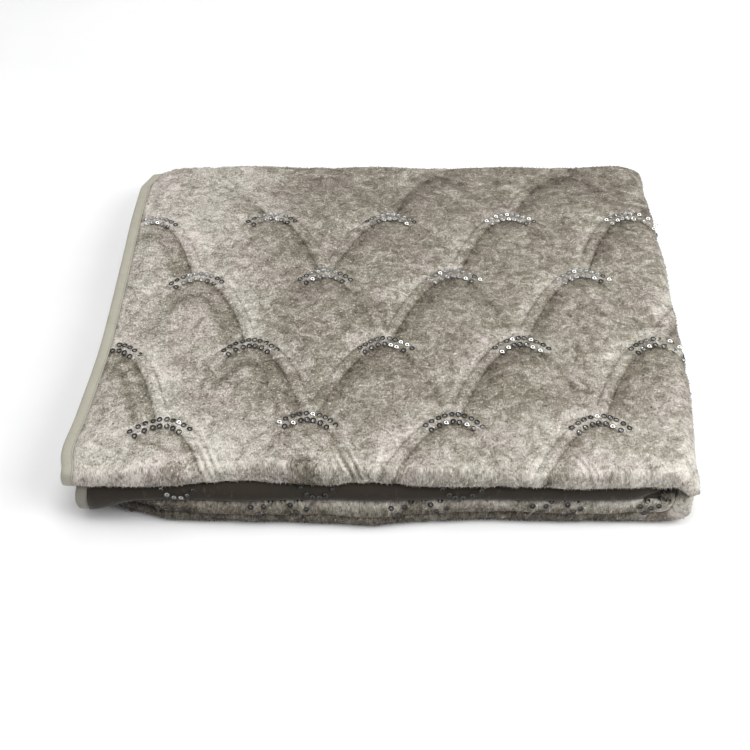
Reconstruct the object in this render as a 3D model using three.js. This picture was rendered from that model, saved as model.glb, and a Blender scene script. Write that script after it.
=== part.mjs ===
// A quilted velvet throw, folded in four along its length and in four across its width.
// X runs along the folded front, Y from the front to the back, Z up. Millimetres.
// The cloth is one sheet. Its section, four layers folded back and forth from front to back, is carried along
// a path of four panels: top panel, round the right side, bottom panel, left crease, third panel, inner right
// fold, second panel.
import * as THREE from 'three';
import { ConvexHull } from 'three/addons/math/ConvexHull.js';

// The sheet and its layers
const SHEET_THICKNESS = 2.7;
const LAYER_PITCH = 3.1;
const PANEL_PITCH = 12.6;
const SEAM_GAP = 0.3;

// The folded pack before it is pushed out of true
const LEFT_END_TOP = -236.6;
const LEFT_END_SECOND = -227;
const LEFT_CREASE_X = -193.7;
const RIGHT_WRAP_X = 235.1;
const INNER_FOLD_X = 233;
const UPPER_BACK_FOLD_Y = 388;
const LOWER_BACK_FOLD_Y = 384;
const FREE_EDGE_Y = 1.5;
const BINDING_WIDTH = 10;

// Heights worked out from the pitches
const OUTER_LAYER = 1.5 * LAYER_PITCH;
const INNER_LAYER = 0.5 * LAYER_PITCH;
const HALF_PANEL = OUTER_LAYER + SHEET_THICKNESS / 2;
const PANEL_HEIGHTS = [3, 2, 1, 0].map((level) => HALF_PANEL + level * PANEL_PITCH);
const [TOP_Z, SECOND_Z, THIRD_Z, BOTTOM_Z] = PANEL_HEIGHTS;
const PACK_HEIGHT = TOP_Z + HALF_PANEL;

// Scallop quilting on the top: one row of the table for each row of scallops, from front to back. Scallops
// stand at whole pitches from startX in odd rows, and half a pitch on in even ones. Rows lie lower at the left
const SCALLOP_ROWS = [
  { topY: -35.5, startX: -178, pitch: 118 },
  { topY: 50.5, startX: -174.4, pitch: 117.8 },
  { topY: 134.5, startX: -175, pitch: 116 },
  { topY: 221, startX: -173.3, pitch: 116.9 },
  { topY: 302, startX: -167, pitch: 113.3 },
  { topY: 380, startX: -191, pitch: 122.5 },
  { topY: 464, startX: -185, pitch: 119 },
];
const LEFT_ROW_DROP = { amount: 6, zone: [-90, -220] };
const LINE_STEPS = 120;
const GROOVE_STEP = 12;
const GROOVE_HALF_WIDTH = 11;
const FILL_STEP = 30;
const RIM_WIDTH = 9;
const PUFF_HEIGHT = 2.2;
const PUFF_REACH = 9;
const STITCH_CLEARANCE = 6;
const SIDE_CLEARANCE = 9;
const RIM_CLEARANCE = 4;

// Where the top's front fold is pushed back (positive) or stands forward
const TOP_FRONT_DENTS = [
  { x: -95, depth: 7, spread: 48 },
  { x: -6, depth: 4, spread: 26 },
  { x: 150, depth: -3, spread: 60 },
];
const LOW_FRONT_DENTS = [
  { x: -165, depth: 3, spread: 45 },
  { x: 0, depth: -3, spread: 20 },
  { x: 95, depth: 3.5, spread: 42 },
  { x: 215, depth: 2, spread: 40 },
];

// How the pack is pushed out of true
const FRONT_ZONE = [10, 90];
const BACK_ZONE = [285, 395];
const SINK = { overall: 0.06, overallZone: [60, 300], atBack: 0.19 };
const LEFT_DROOP = { zone: [-186, -228], top: 1, second: 14 };
const SWELL = { height: 0.9, lengthX: 63, lengthY: 85 };
const LEAN = { amount: 12, reach: 70, widenRight: 0.02, widenLeft: 0.013 };
const TUCK = {
  amount: 9,
  zoneX: [140, 250],
  zoneZ: [33, 20],
  squareness: 8,
  squareZoneX: [233, 252],
  squareZoneZ: [24, 8],
};
const SIDE_CREVICE = {
  depth: 11,
  zoneX: [205, 238],
  zoneZ: [25, 28.5],
  lipZ: 38,
  lipFall: 6,
  lipZoneX: [230, 252],
  lipRounding: 1.5,
};
const LIP_DROOP = {
  wide: 2.8,
  wideZoneX: [205, 230],
  corner: 1.5,
  cornerZoneX: [240, 254],
  zoneZ: [20, 38],
  endZ: [54, 42],
};
const FRONT_BOW = { amount: 3.5, middleY: 55, spread: 50 };
const LEFT_END_BOW = { amount: 3, middleY: 24, spread: 20, zoneX: [-150, -235], zoneZ: [31, 38] };
const FRONT_CORNER = { amount: 3, middleY: 0, spread: 10, zoneX: [-200, -235], zoneZ: [31, 38] };
const BACK_CORNER = { amount: 11, zoneX: [-185, -240], zoneY: [362, 399], zoneZ: [36, 39] };
const FRONT_SPREAD = 11;
const CREASE_ROUNDING = 10;
const CORNER_DRAW = 9;
const BACK_STAGGER = 4.5;

// Where the sheet's faces are divided
const STATIONS_X = [-215, -190, -145, -95, -50, -6, 40, 95, 150, 190];
const STATIONS_Y = [60, 180, 290, 352];

const velvet = new THREE.MeshStandardMaterial({ color: 0x9a948a, roughness: 0.75, metalness: 0 });
const satin = new THREE.MeshStandardMaterial({ color: 0xd0d0c2, roughness: 0.45, metalness: 0 });

const ease = (from, to, value) => THREE.MathUtils.smoothstep((value - from) / (to - from), 0, 1);
const share = (from, to, value) => THREE.MathUtils.clamp((value - from) / (to - from), 0, 1);

// A half turn of the sheet about a centre, from one angle to another, as points with their outward normals
function halfTurn(centreU, centreV, radius, fromAngle, toAngle, steps, facing) {
  const points = [];
  for (let step = 0; step <= steps; step += 1) {
    const angle = fromAngle + (toAngle - fromAngle) * step / steps;
    const u = Math.cos(angle);
    const v = Math.sin(angle);
    points.push({ u: centreU + radius * u, v: centreV + radius * v, nu: facing * u, nv: facing * v });
  }
  return points;
}

function straight(positions, v, nv) {
  return positions.map((u) => ({ u, v, nu: 0, nv }));
}

// The section from front to back (u is Y, v the height in the panel): a free edge, the layer under the top,
// the upper back fold, the top layer, the front fold, the lowest layer, the lower back fold, the last layer
function foldedSection() {
  const up = [FREE_EDGE_Y, ...STATIONS_Y];
  const down = [...STATIONS_Y].reverse();
  const middleOfPair = (OUTER_LAYER + INNER_LAYER) / 2;
  const backRadius = LAYER_PITCH / 2;
  const quarter = Math.PI / 2;
  return [
    ...straight(up, INNER_LAYER, -1),
    ...halfTurn(UPPER_BACK_FOLD_Y, middleOfPair, backRadius, -quarter, quarter, 4, 1),
    ...straight(down, OUTER_LAYER, 1),
    ...halfTurn(0, 0, OUTER_LAYER, quarter, 3 * quarter, 6, 1),
    ...straight(STATIONS_Y, -OUTER_LAYER, -1),
    ...halfTurn(LOWER_BACK_FOLD_Y, -middleOfPair, backRadius, -quarter, quarter, 4, 1),
    ...straight([...down, FREE_EDGE_Y], -INNER_LAYER, 1),
  ];
}

// The path from the top's left end to the second panel's left end (u is X, v is Z)
function foldedPath() {
  const inside = STATIONS_X.filter((x) => x > LEFT_CREASE_X + 10);
  const leftwards = [...inside].reverse();
  const quarter = Math.PI / 2;
  const wrapRadius = (TOP_Z - BOTTOM_Z) / 2;
  const foldRadius = PANEL_PITCH / 2;
  return [
    ...straight([LEFT_END_TOP, ...STATIONS_X], TOP_Z, 1),
    ...halfTurn(RIGHT_WRAP_X, BOTTOM_Z + wrapRadius, wrapRadius, quarter, -quarter, 8, 1),
    ...straight(leftwards, BOTTOM_Z, -1),
    ...halfTurn(LEFT_CREASE_X, BOTTOM_Z + foldRadius, foldRadius, 3 * quarter, quarter, 5, 1),
    ...straight(inside, THIRD_Z, 1),
    ...halfTurn(INNER_FOLD_X, THIRD_Z + foldRadius, foldRadius, -quarter, quarter, 5, -1),
    ...straight([...STATIONS_X].reverse(), SECOND_Z, -1),
    ...straight([LEFT_END_SECOND], SECOND_Z, -1),
  ];
}

function sheetPoint(station, row, offset) {
  const height = row.v + row.nv * offset;
  const x = station.u + station.nu * height;
  const z = station.v + station.nv * height;
  return new THREE.Vector3(x, row.u + row.nu * offset, z);
}

const bump = (middle, spread, value) => Math.exp(-(((value - middle) / spread) ** 2));

function dents(table, x) {
  return table.reduce((sum, dent) => sum + dent.depth * bump(dent.x, dent.spread, x), 0);
}

// A sideways bow of the left end near the front
function endShift(shape, x, y, z) {
  const atEnd = ease(...shape.zoneX, x) * ease(...shape.zoneZ, z);
  return shape.amount * bump(shape.middleY, shape.spread, y) * atEnd;
}

// The cloth lies out of true: it sinks towards the back, its lower panels stand forward, its second end
// droops at the left, its back corners are drawn in, its right side leans and is tucked in below, with a
// crevice under the top fold's drooping lip, and its sides bow a little to the left near the front
function settle(point) {
  const { x, y, z } = point;
  const atFront = 1 - ease(...FRONT_ZONE, y);
  const atBack = ease(...BACK_ZONE, y);
  const height = z / PACK_HEIGHT;

  const sink = SINK.overall * ease(...SINK.overallZone, y) + SINK.atBack * atBack;
  const topShare = share(PACK_HEIGHT, PACK_HEIGHT - PANEL_PITCH, z);
  const secondShare = share(PACK_HEIGHT - PANEL_PITCH, PACK_HEIGHT - 2 * PANEL_PITCH, z);
  const belowShare = share(0, PACK_HEIGHT - 2 * PANEL_PITCH, z);
  const droop = belowShare * (LEFT_DROOP.top * topShare + LEFT_DROOP.second * secondShare);
  const swell = SWELL.height * height * Math.sin(x / SWELL.lengthX + 0.7) * Math.sin(y / SWELL.lengthY + 0.4);

  const lean = LEAN.amount * (1 - Math.exp(-Math.max(y, 0) / LEAN.reach));
  const widen = y * (LEAN.widenRight * share(0, 255, x) - LEAN.widenLeft * share(0, -250, x));
  const tuck = TUCK.amount * ease(...TUCK.zoneX, x) * ease(...TUCK.zoneZ, z);
  const square = TUCK.squareness * ease(...TUCK.squareZoneX, x) * ease(...TUCK.squareZoneZ, z);
  const backCorner = BACK_CORNER.amount * ease(...BACK_CORNER.zoneX, x) * ease(...BACK_CORNER.zoneY, y)
    * ease(...BACK_CORNER.zoneZ, z);

  const spread = FRONT_SPREAD * Math.sin((Math.PI / 2) * (1 - share(BOTTOM_Z, TOP_Z, z)));
  const topDent = dents(TOP_FRONT_DENTS, x) * ease(31, 44, z);
  const lowDent = dents(LOW_FRONT_DENTS, x) * ease(28, 15, z);
  const roundedLeft = CREASE_ROUNDING * ease(-160, -206, x) * ease(27, 19, z);
  const lip = SIDE_CREVICE.lipZ - SIDE_CREVICE.lipFall * ease(...SIDE_CREVICE.lipZoneX, x);
  const crevice = SIDE_CREVICE.depth * ease(...SIDE_CREVICE.zoneX, x) * ease(...SIDE_CREVICE.zoneZ, z)
    * ease(lip + SIDE_CREVICE.lipRounding, lip - SIDE_CREVICE.lipRounding, z);
  const frontShift = topDent + lowDent + roundedLeft + crevice - spread;
  const bow = FRONT_BOW.amount * bump(FRONT_BOW.middleY, FRONT_BOW.spread, y);
  const leftEnd = endShift(FRONT_CORNER, x, y, z) - endShift(LEFT_END_BOW, x, y, z);
  const wideLip = LIP_DROOP.wide * ease(...LIP_DROOP.wideZoneX, x);
  const lipSize = wideLip + LIP_DROOP.corner * ease(...LIP_DROOP.cornerZoneX, x);
  const lipDroop = atFront * lipSize * ease(...LIP_DROOP.zoneZ, z) * ease(...LIP_DROOP.endZ, z);
  const corner = CORNER_DRAW * (ease(-205, -250, x) + ease(228, 268, x));
  const stagger = BACK_STAGGER * Math.sin(height * 9 + 0.8);

  return new THREE.Vector3(
    x + lean + widen - tuck + square + backCorner + leftEnd - bow,
    y + atFront * frontShift + atBack * (stagger - corner),
    z * (1 - sink) - ease(...LEFT_DROOP.zone, x) * droop - lipDroop + swell,
  );
}

// Height of the quilting above its stitched lines, at a place on the top
function nearestStitch(x, y, lines) {
  let nearest = Infinity;
  for (const line of lines) {
    for (const place of line) {
      nearest = Math.min(nearest, Math.hypot(place.x - x, place.y - y));
    }
  }
  return nearest;
}

function quiltHeight(x, y, lines) {
  const distance = nearestStitch(x, y, lines);
  return PUFF_HEIGHT * (1 - Math.exp(-((distance / PUFF_REACH) ** 2)));
}

// Each scallop is a parabola that stands between the tops of its two neighbours in the row in front
function scallopPlace(row, middle, across) {
  const front = SCALLOP_ROWS[row - 1];
  const own = SCALLOP_ROWS[row];
  const rise = 1 - across ** 2;
  const between = (name) => THREE.MathUtils.lerp(front[name], own[name], rise);
  const x = between('startX') + between('pitch') * (middle + across / 2);
  const y = between('topY') - LEFT_ROW_DROP.amount * ease(...LEFT_ROW_DROP.zone, x);
  const outward = new THREE.Vector2(4 * across / own.pitch, 1 / (own.topY - front.topY)).normalize();
  return { x, y, outX: outward.x, outY: outward.y };
}

function scallopLine(row, middle) {
  const line = [];
  for (let step = 0; step <= LINE_STEPS; step += 1) {
    const place = scallopPlace(row, middle, 2 * step / LINE_STEPS - 1);
    const last = line[line.length - 1];
    if (!last || Math.hypot(place.x - last.x, place.y - last.y) >= GROOVE_STEP) {
      line.push(place);
    }
  }
  return line;
}

function scallopLines() {
  const lines = [];
  for (let row = 1; row < SCALLOP_ROWS.length; row += 1) {
    const firstMiddle = row % 2 === 1 ? -1 : -1.5;
    for (let across = 0; across < 6; across += 1) {
      lines.push(scallopLine(row, firstMiddle + across));
    }
  }
  return lines;
}

// Points of the quilted top: its rim, then the stitched lines, then both sides of them, then an even filling
function quiltPlaces(rim, field) {
  const lines = scallopLines();
  const places = [...rim];
  const tryPlace = (x, y, clearance) => {
    const inField = x > field.left + RIM_CLEARANCE && x < field.right - RIM_CLEARANCE
      && y > field.front + RIM_CLEARANCE && y < field.back - RIM_CLEARANCE;
    if (inField && places.every((place) => Math.hypot(place.x - x, place.y - y) > clearance)) {
      places.push({ x, y });
    }
  };
  for (const line of lines) {
    line.forEach((place) => tryPlace(place.x, place.y, STITCH_CLEARANCE));
  }
  for (const side of [-GROOVE_HALF_WIDTH, GROOVE_HALF_WIDTH]) {
    for (const line of lines) {
      line.forEach(({ x, y, outX, outY }) => tryPlace(x + side * outX, y + side * outY, SIDE_CLEARANCE));
    }
  }
  let row = 0;
  for (let y = field.front; y < field.back; y += FILL_STEP * 0.866) {
    row += 1;
    for (let x = field.left + (row % 2) * FILL_STEP / 2; x < field.right; x += FILL_STEP) {
      tryPlace(x + 2 * Math.sin(y), y + 2 * Math.sin(x), FILL_STEP * 0.62);
    }
  }
  return { places, lines };
}

// Joins places by the net of triangles whose corners' circles hold no other place: the underside of the
// convex hull of the places lifted on to a bowl
function netOfTriangles(places) {
  const lifted = places.map(({ x, y }) => new THREE.Vector3(x, y, (x ** 2 + y ** 2) / 500));
  const indexOf = new Map(lifted.map((point, index) => [point, index]));
  const triangles = [];
  for (const face of new ConvexHull().setFromPoints(lifted).faces) {
    if (face.normal.z > -1e-7) {
      continue;
    }
    const corners = [face.edge, face.edge.next, face.edge.prev].map((edge) => indexOf.get(edge.head().point));
    triangles.push([corners[0], corners[2], corners[1]]);
  }
  return triangles;
}

// The places along one side of a rectangle, from one corner up to but not including the next
function rimSide(fromX, fromY, toX, toY) {
  const count = Math.round(Math.hypot(toX - fromX, toY - fromY) / GROOVE_STEP);
  return Array.from({ length: count }, (unused, index) => ({
    x: fromX + (toX - fromX) * index / count,
    y: fromY + (toY - fromY) * index / count,
  }));
}

class Surface {
  constructor() {
    this.positions = [];
    this.triangles = [];
  }

  add(point) {
    this.positions.push(point.x, point.y, point.z);
    return this.positions.length / 3 - 1;
  }

  quad(a, b, c, d, firstDiagonal) {
    if (firstDiagonal) {
      this.triangles.push(a, b, c, a, c, d);
    } else {
      this.triangles.push(a, b, d, b, c, d);
    }
  }

  mesh(name, material) {
    const geometry = new THREE.BufferGeometry();
    geometry.setAttribute('position', new THREE.Float32BufferAttribute(this.positions, 3));
    geometry.setIndex(this.triangles);
    geometry.computeVertexNormals();
    const mesh = new THREE.Mesh(geometry, material);
    mesh.name = name;
    return mesh;
  }
}

// Carries the section along the path: its outer side, its inner side, its two free edges and its two ends.
// skip leaves out the outer faces that the quilted top takes
function sweptSheet(path, section, thicknessAt, skip) {
  const surface = new Surface();
  const grids = [1, -1].map((side) => path.map((station, index) => section.map((row) => {
    const offset = side * thicknessAt(index) / 2;
    return surface.add(settle(sheetPoint(station, row, offset)));
  })));
  const [outer, inner] = grids;
  const lastStation = path.length - 1;
  const lastRow = section.length - 1;
  for (let i = 0; i < lastStation; i += 1) {
    for (let j = 0; j < lastRow; j += 1) {
      const sameWay = (path[i + 1].u - path[i].u) * (section[j + 1].u - section[j].u) > 0;
      if (!skip(i, j)) {
        surface.quad(outer[i][j], outer[i][j + 1], outer[i + 1][j + 1], outer[i + 1][j], sameWay);
      }
      surface.quad(inner[i][j], inner[i + 1][j], inner[i + 1][j + 1], inner[i][j + 1], sameWay);
    }
    surface.quad(outer[i][0], outer[i + 1][0], inner[i + 1][0], inner[i][0], true);
    surface.quad(outer[i][lastRow], inner[i][lastRow], inner[i + 1][lastRow], outer[i + 1][lastRow], true);
  }
  for (let j = 0; j < lastRow; j += 1) {
    surface.quad(outer[0][j], inner[0][j], inner[0][j + 1], outer[0][j + 1], true);
    surface.quad(outer[lastStation][j], outer[lastStation][j + 1], inner[lastStation][j + 1],
      inner[lastStation][j], true);
  }
  return { surface, outer };
}

// Joins two rows of points that run the same way, however many each has
function joinRows(surface, near, far) {
  let a = 0;
  let b = 0;
  while (a < near.length - 1 || b < far.length - 1) {
    const nextNear = a < near.length - 1 ? near[a + 1].along : Infinity;
    const nextFar = b < far.length - 1 ? far[b + 1].along : Infinity;
    if (nextNear <= nextFar) {
      surface.triangles.push(near[a].index, near[a + 1].index, far[b].index);
      a += 1;
    } else {
      surface.triangles.push(near[a].index, far[b + 1].index, far[b].index);
      b += 1;
    }
  }
}

function numbersFrom(first, last) {
  return Array.from({ length: last - first + 1 }, (unused, index) => first + index);
}

function alongRow(entries) {
  const last = entries.length - 1;
  const start = entries[0];
  const whole = Math.hypot(entries[last].x - start.x, entries[last].y - start.y);
  return entries.map((entry) => ({
    index: entry.index,
    along: Math.hypot(entry.x - start.x, entry.y - start.y) / whole,
  }));
}

// The quilted top goes in the opening that the swept sheet leaves on its top layer
function addQuiltedTop(surface, outer, path, section, opening) {
  const { firstStation, lastStation, firstRow, lastRow } = opening;
  const field = {
    left: path[firstStation].u + RIM_WIDTH,
    right: path[lastStation].u - RIM_WIDTH,
    back: section[firstRow].u - RIM_WIDTH,
    front: section[lastRow].u + RIM_WIDTH,
  };
  const sides = [
    rimSide(field.left, field.back, field.left, field.front),
    rimSide(field.left, field.front, field.right, field.front),
    rimSide(field.right, field.front, field.right, field.back),
    rimSide(field.right, field.back, field.left, field.back),
  ];
  const rim = sides.flat();
  const { places, lines } = quiltPlaces(rim, field);
  const firstIndex = surface.positions.length / 3;
  const level = TOP_Z + HALF_PANEL;
  for (const place of places) {
    const raised = settle(new THREE.Vector3(place.x, place.y, level));
    const fromSides = Math.min(place.x - field.left, field.right - place.x);
    const fromRim = Math.min(fromSides, place.y - field.front, field.back - place.y);
    raised.z += quiltHeight(place.x, place.y, lines) * ease(-RIM_WIDTH, RIM_WIDTH, fromRim);
    surface.add(raised);
  }
  for (const [a, b, c] of netOfTriangles(places)) {
    surface.triangles.push(firstIndex + a, firstIndex + b, firstIndex + c);
  }

  const coarse = (i, j) => ({ index: outer[i][j], x: path[i].u, y: section[j].u });
  const rows = numbersFrom(firstRow, lastRow);
  const stations = numbersFrom(firstStation, lastStation);
  const coarseSides = [
    rows.map((j) => coarse(firstStation, j)),
    stations.map((i) => coarse(i, lastRow)),
    [...rows].reverse().map((j) => coarse(lastStation, j)),
    [...stations].reverse().map((i) => coarse(i, firstRow)),
  ];
  let start = 0;
  sides.forEach((side, sideIndex) => {
    const fine = Array.from({ length: side.length + 1 }, (unused, step) => {
      const index = (start + step) % rim.length;
      return { index: firstIndex + index, x: rim[index].x, y: rim[index].y };
    });
    start += side.length;
    joinRows(surface, alongRow(coarseSides[sideIndex]), alongRow(fine));
  });
}

function quiltedCloth() {
  const path = foldedPath();
  const section = foldedSection();
  const layerLength = STATIONS_Y.length;
  const firstRow = 1 + layerLength + 4;
  const opening = {
    firstStation: 0,
    lastStation: STATIONS_X.length + 1,
    firstRow,
    lastRow: firstRow + layerLength + 1,
  };
  const skip = (i, j) => i < opening.lastStation && j >= opening.firstRow && j < opening.lastRow;
  const { surface, outer } = sweptSheet(path, section, () => SHEET_THICKNESS, skip);
  addQuiltedTop(surface, outer, path, section, opening);
  return surface.mesh('quilted_cloth', velvet);
}

// The binding carries the folded section on past the end of the cloth and ends in a rounded edge
function binding(name, clothEnd, panelZ, normal) {
  const profile = [
    { out: SEAM_GAP, thickness: SHEET_THICKNESS },
    { out: 0.7 * BINDING_WIDTH, thickness: SHEET_THICKNESS },
    { out: 0.93 * BINDING_WIDTH, thickness: 0.8 * SHEET_THICKNESS },
    { out: BINDING_WIDTH, thickness: 0.35 * SHEET_THICKNESS },
  ];
  const order = normal > 0 ? [...profile].reverse() : profile;
  const path = order.map(({ out }) => ({ u: clothEnd - out, v: panelZ, nu: 0, nv: normal }));
  const { surface } = sweptSheet(path, foldedSection(), (index) => order[index].thickness, () => false);
  return surface.mesh(name, satin);
}

const group = new THREE.Group();
group.add(quiltedCloth());
group.add(binding('binding_top', LEFT_END_TOP, TOP_Z, 1));
group.add(binding('binding_lower', LEFT_END_SECOND, SECOND_Z, -1));

const box = new THREE.Box3().setFromObject(group);
const centre = box.getCenter(new THREE.Vector3());
group.position.set(-centre.x, -centre.y, -box.min.z);
group.updateMatrixWorld(true);

export default group;
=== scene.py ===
"""A quilted velvet throw, folded into a flat pack: its cloth, satin binding, sequins and a plain stage."""
import math
import random

import bpy
import numpy as np
from bpy.props import FloatProperty, FloatVectorProperty, IntProperty, PointerProperty
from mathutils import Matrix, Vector, noise


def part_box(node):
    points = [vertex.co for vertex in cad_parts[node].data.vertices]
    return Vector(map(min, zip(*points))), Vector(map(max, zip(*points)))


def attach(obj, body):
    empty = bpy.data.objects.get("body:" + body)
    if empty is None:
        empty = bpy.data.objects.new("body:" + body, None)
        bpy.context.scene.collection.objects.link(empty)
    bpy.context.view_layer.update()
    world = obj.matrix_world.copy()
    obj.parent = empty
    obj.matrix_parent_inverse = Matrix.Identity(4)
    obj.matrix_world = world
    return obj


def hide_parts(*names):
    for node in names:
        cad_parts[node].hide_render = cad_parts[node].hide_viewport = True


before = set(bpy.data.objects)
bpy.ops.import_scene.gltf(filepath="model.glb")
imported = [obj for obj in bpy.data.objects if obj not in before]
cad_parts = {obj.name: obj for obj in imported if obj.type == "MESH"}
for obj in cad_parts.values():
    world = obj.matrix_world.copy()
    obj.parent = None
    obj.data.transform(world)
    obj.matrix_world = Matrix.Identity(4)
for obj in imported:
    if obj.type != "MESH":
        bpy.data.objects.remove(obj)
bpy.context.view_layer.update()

bl_info = {
    "name": "Folded Quilted Throw",
    "version": (1, 0, 0),
    "blender": (4, 5, 0),
    "location": "3D View > Sidebar > Throw",
    "description": "Builds a folded velvet throw with scallop quilting, a satin binding and sequins",
    "category": "Add Mesh",
}

MM = 0.001

# The folded pack in millimetres, as its solids have it: x along the front, y from front to back
LEFT_END_TOP = -236.6
LEFT_END_SECOND = -227.0
LEFT_CREASE_X = -193.7
RIGHT_WRAP_X = 235.1
INNER_FOLD_X = 233.0
UPPER_BACK_FOLD_Y = 388.0
LOWER_BACK_FOLD_Y = 384.0
FREE_EDGE_Y = 1.5
SEAM_GAP = 0.3

# Sizes of the sheet's faces where nothing shows
HIDDEN_STEP = 32.0
INNER_STEP = 42.0

# How the pack lies out of true. A zone runs from where an effect starts to where it is full
FRONT_ZONE = (10, 90)
BACK_ZONE = (285, 395)
SINK = {"middle": 0.06, "back": 0.19, "y": (60, 300)}
DROOP = {"top": 1, "second": 14, "x": (-186, -228)}
SWELL = {"size": 0.9, "x_wave": 63, "x_start": 0.7, "y_wave": 85, "y_start": 0.4}
LEAN = {"size": 12, "run": 70}
WIDEN = {"right": 0.02, "right_x": (0, 255), "left": 0.013, "left_x": (0, -250)}
RIGHT_TUCK = {"size": 9, "x": (140, 250), "z": (33, 20)}
RIGHT_SQUARE = {"size": 8, "x": (233, 252), "z": (24, 8)}
LOWER_STEP = 11
TOP_DENT_Z = (31, 44)
LOW_DENT_Z = (28, 15)
LEFT_ROUND = {"size": 10, "x": (-160, -206), "z": (27, 19)}
SIDE_CREVICE = {"size": 11, "x": (205, 238), "z": (25, 28.5)}
CREVICE_LIP = {"z": 38, "fall": 6, "x": (230, 252), "rounding": 1.5}
FRONT_BOW = {"size": 3.5, "middle": 55, "spread": 50}
END_BOW = {"size": 3, "middle": 24, "spread": 20, "x": (-150, -235), "z": (31, 38)}
FRONT_CORNER = {"size": 3, "spread": 10, "x": (-200, -235), "z": (31, 38)}
LIP_DROOP = {"size": 2.8, "x": (205, 230)}
LIP_CORNER = {"size": 1.5, "x": (240, 254)}
LIP_Z = ((20, 38), (54, 42))
BACK_CORNER = {"size": 11, "x": (-185, -240), "y": (362, 399), "z": (36, 39)}
BACK_ROUND = {"size": 9, "left_x": (-205, -250), "right_x": (228, 268)}
STAGGER = {"size": 4.5, "turns": 9, "start": 0.8}

# Dents of the front edge, of the top fold and of the lower ones: place along the front, depth, spread
TOP_FRONT_DENTS = ((-95, 7, 48), (-6, 4, 26), (150, -3, 60))
LOW_FRONT_DENTS = ((-165, 3, 45), (0, -3, 20), (95, 3.5, 42), (215, 2, 40))

# Rows of scallops from front to back: where their tops lie, where scallop 0 stands and how far apart they are
SCALLOP_TOPS = (-35.5, 50.5, 134.5, 221.0, 302.0, 380.0, 464.0)
SCALLOP_STARTS = (-178.0, -174.4, -175.0, -173.3, -167.0, -191.0, -185.0)
SCALLOP_PITCHES = (118.0, 117.8, 116.0, 116.9, 113.3, 122.5, 119.0)
LEFT_ROW_DROP = 6.0
PITCH = 117.5
RISE = 85.0
BAND_HALF = 5.2

# Which scallop lies where on the lower panels: panel, place along the front, scallop number
LOWER_SCALLOPS = (
    ("bottom", 225, 3.98),
    ("third", -190, 7.48), ("third", 35, 9.5), ("third", 147, 10.5), ("third", 231, 11.4),
    ("second", 67, 12.5), ("second", -45, 13.5), ("second", -154, 14.5), ("second", LEFT_END_SECOND, 15.12),
)

# How far the rows are shifted there from front to back: panel, place along the front, shift
LOWER_ROW_SHIFTS = (
    ("bottom", 225, 0.0), ("third", -190, 37.5), ("third", 220, 37.5),
    ("second", 210, 25.0), ("second", LEFT_END_SECOND, 25.0),
)

# The quilting: run of the padding's rise, reach of the band's ridge, the wrinkle in the left scallops and the
# painted shade along it
PUFF_RUN = 13
RIDGE_REACH = 7.0
WRINKLE = {"depth": 1.3, "middle": 23, "spread": 5, "dark_middle": 24, "dark": 0.8}

# Soft unevenness of the face: size of the swells, seed, height
UNEVENNESS = ((34, 3.1, 0.7), (13, 8.7, 0.5), (5, 4.2, 0.35))

# How far the lower folds fill the seam between them at the front
NOSE_FILL = 2.1

# How much of its full swelling the cloth has on parts that are partly held: 1 is the open top
SWELLS = {"right_side": 0.35, "crease": 0.25, "front": 0.45, "lower_back": 0.25}

# Small gathers across the front fold: place along the front, size
GATHERS = ((-130, 1.0), (-19, 1.2), (168, 0.7))
GATHER_PITCH = 12
GATHER_SLANT = 0.55

# The longer tufts of the pile: how many, their sizes and how thickly they stand on each part
PILE_TUFTS = 45000
TUFT_LENGTH = (0.9, 2.1)
TUFT_WIDTH = 0.75
TUFT_SINK = 0.2
TUFT_SEED = 5
TUFT_LEAN = {"upright": 0.75, "aside": 0.6, "spread": 0.8, "forward": 0.5}
TUFT_TONE = {"lighter": 0.15, "spread": 0.55}
TUFT_SHARES = {"top": 0.35, "back_fold": 1.5, "front_folds": 2.2, "right_side": 1.6}

# Which way the pile leans, and on the panels under the top fold also painted shade, most on the second
# panel's front, less on the bottom panel and the inner fold: below 0 it looks dark, above 0 light
PANEL_LIE_AND_SHADE = {
    "top": 0.05, "wrap": 0.15, "bottom": -0.9, "crease": -1.0, "third": 0.0, "inner": -1.2, "second": -2.5,
}
# Zones where the top is lighter or darker: partly how the pile leans, partly painted light, lighter at the
# front and the left, darker at the back
TOP_LIE_LIGHT_AND_SHADE_ZONES = (
    {"size": 0.60, "x": (-50, -180)},
    {"size": 0.42, "x": (-60, -170), "y": (200, 350)},
    {"size": 0.15, "x": (80, 200), "y": (350, 200)},
    {"size": -0.16, "x": (60, 200), "y": (200, 330)},
    {"size": 0.60, "y": (80, 5)},
    {"size": -0.20, "y": (240, 380)},
)
THIRD_LIE_ZONES = ({"size": -1.2, "x": (-60, -190)}, {"size": 0.35, "x": (0, 200)})
BOTTOM_LIE_ZONE = {"size": 0.7, "x": (180, 225)}

# Dark places at the top's front edge, the second one painted shade along the lower hem at the left: place
# along the front, spread, how dark, zone from front to back
DARK_PLACES_AND_HEM_SHADE = ((-55, 11, 1.7, (10, 4)), (-167, 18, 0.9, (4, 0)))

# Where the quilting hardly shows at the back, and how much of it is gone there
FADED_X = (50, -20)
FADED_Y = (300, 350)
FADED_SEAM = {"right": 0.45, "left": 1.0}
FADED_NAP_AND_SHADE = 0.6

# The binding's rounded profile: share of its width, share of the sheet's thickness, how far it stands proud
BINDING_PROFILE = (
    (0.0, 1.0, 0.10), (0.06, 1.0, 0.55), (0.14, 1.0, 0.42), (0.22, 1.0, 0.5),
    (0.35, 1.0, 0.55), (0.5, 1.0, 0.55), (0.65, 1.0, 0.5), (0.78, 0.97, 0.4),
    (0.88, 0.86, 0.25), (0.95, 0.66, 0.12), (0.985, 0.42, 0.03), (1.0, 0.1, 0.0),
)
BINDING_RIPPLE = {"size": 0.5, "short": 2.1, "long": 7.3}

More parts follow.
